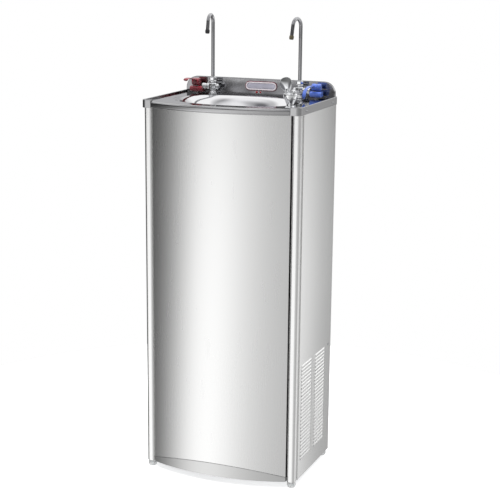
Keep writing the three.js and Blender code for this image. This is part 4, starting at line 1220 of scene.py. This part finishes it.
def make_world():
    """A studio that lights and reflects; the camera itself sees plain white behind the object.

    Bands of light and dark stand round the object. Below they darken, more in front than at the back, and
    overhead soft panels hang in front and an even light at the back.
    """
    world = bpy.data.worlds.new("studio")
    bpy.context.scene.world = world
    world.use_nodes = True
    f = Finish(world.node_tree)
    way = f.node("ShaderNodeTexCoord", output=0)
    x, y, z = (f.axis(way, k) for k in range(3))
    turn = x.math("ARCTAN2", y * -1.0) / (2 * math.pi) - z * TURN_LEAN + TURN_OFFSET
    stops = [(degrees / 360.0 + 0.5, level) for degrees, level in AROUND]
    around = f.node("ShaderNodeValToRGB", {"stops": stops}, {"Fac": turn})

    rear = f.between(y, 0.0, 0.25)
    low = f.between(z, -0.11, 0.03, 1.0, 0.16) * (1.0 - rear * f.between(z, -0.24, -0.08, 0.0, 0.45))
    dimmed = f.mix(low, grey(0.0), around)
    behind = f.mix(f.between(x, 0.0, 0.25), (0.34, 0.34, 0.35, 1.0), grey(1.0))
    dimmed = f.mix(rear * f.between(z, 0.02, 0.07), dimmed, behind)

    cloud = f.node("ShaderNodeTexNoise", values={"Vector": way, "Scale": 2.4, "Detail": 0.0})
    panels = f.mix(f.between(cloud, 0.42, 0.58), (0.15, 0.15, 0.16, 1.0), (0.86, 0.86, 0.87, 1.0))
    ceiling = f.mix(f.between(y, 0.05, 0.30), panels, grey(0.95))
    level = f.mix(f.between(z, 0.28, 0.60), dimmed, ceiling)

    studio = f.node("ShaderNodeBackground", values={"Color": level, "Strength": STUDIO_LEVEL})
    plain = f.node("ShaderNodeBackground", values={"Color": grey(1.0), "Strength": 1.0})
    seen = f.node("ShaderNodeLightPath", output=0)
    both = f.node("ShaderNodeMixShader", values={0: seen, 1: studio, 2: plain})
    f.node("ShaderNodeOutputWorld", values={"Surface": both})


def make_light():
    """One softbox overhead; the world gives the rest of the light."""
    place, target = Vector((-0.5, -0.6, 3.2)), Vector((0.0, 0.0, 0.8))
    data = bpy.data.lights.new("overhead", "AREA")
    data.shape = "RECTANGLE"
    data.size = data.size_y = 1.6
    data.energy = 55.0
    light = linked("overhead", data)
    light.location = place
    light.rotation_mode = "QUATERNION"
    light.rotation_quaternion = (target - place).to_track_quat("-Z", "Y")
    light.visible_camera = False
    light.visible_glossy = False


CAMERA_PLACE = Vector((1.4082, -3.4727, 1.4912))
CAMERA_TARGET = Vector((0.0, 0.019, 0.5357))
CAMERA_ROLL = 0.425                           # degrees
LENS = 96.96
LENS_SHIFT = (0.0204, 0.0708)


def make_camera():
    data = bpy.data.cameras.new("camera")
    data.sensor_width = 36.0
    data.lens = LENS
    data.shift_x, data.shift_y = LENS_SHIFT
    camera = linked("camera", data)
    look = (CAMERA_TARGET - CAMERA_PLACE).to_track_quat("-Z", "Y").to_matrix().to_4x4()
    camera.matrix_world = Matrix.Translation(CAMERA_PLACE) @ look @ turned_by(CAMERA_ROLL, "Z")
    bpy.context.scene.camera = camera
    bpy.context.scene.view_settings.view_transform = "Standard"


for job in (make_camera, make_world, make_light, make_floor, make_front, make_posts, make_feet):
    job()
for name, side in SIDES:
    make_side(name, side)
for job in (make_front_rim, make_side_rims, make_deck, make_drain, make_backsplash, make_window, make_lamps):
    job()
make_spout("hot", -1, turn=4.0, top=1299.0, leg=23.0, tip_finish=BLACK)
make_spout("cold", 1, turn=-11.0, top=1295.0, leg=28.0, tip_finish=OLIVE)
make_tap("hot", -1, RED, (29.0, 69.0), lever_shape(
    reach=76.0, drop=4.0, raised=9.0, hub_start=41.0, hub_radius=11.0, finger_x=52.0, finger_wide=6.0))
make_tap("cold", 1, BLUE, (33.0, 67.0), lever_shape(
    reach=82.0, drop=25.0, raised=0.0, hub_start=36.0, hub_radius=9.5, finger_x=42.0, finger_wide=4.2))
for job in (make_bubbler, make_back, make_power_inlet, make_water_fittings, make_controls, make_knob,
            make_condenser, make_compressor, make_drier, dress_shown_nodes):
    job()
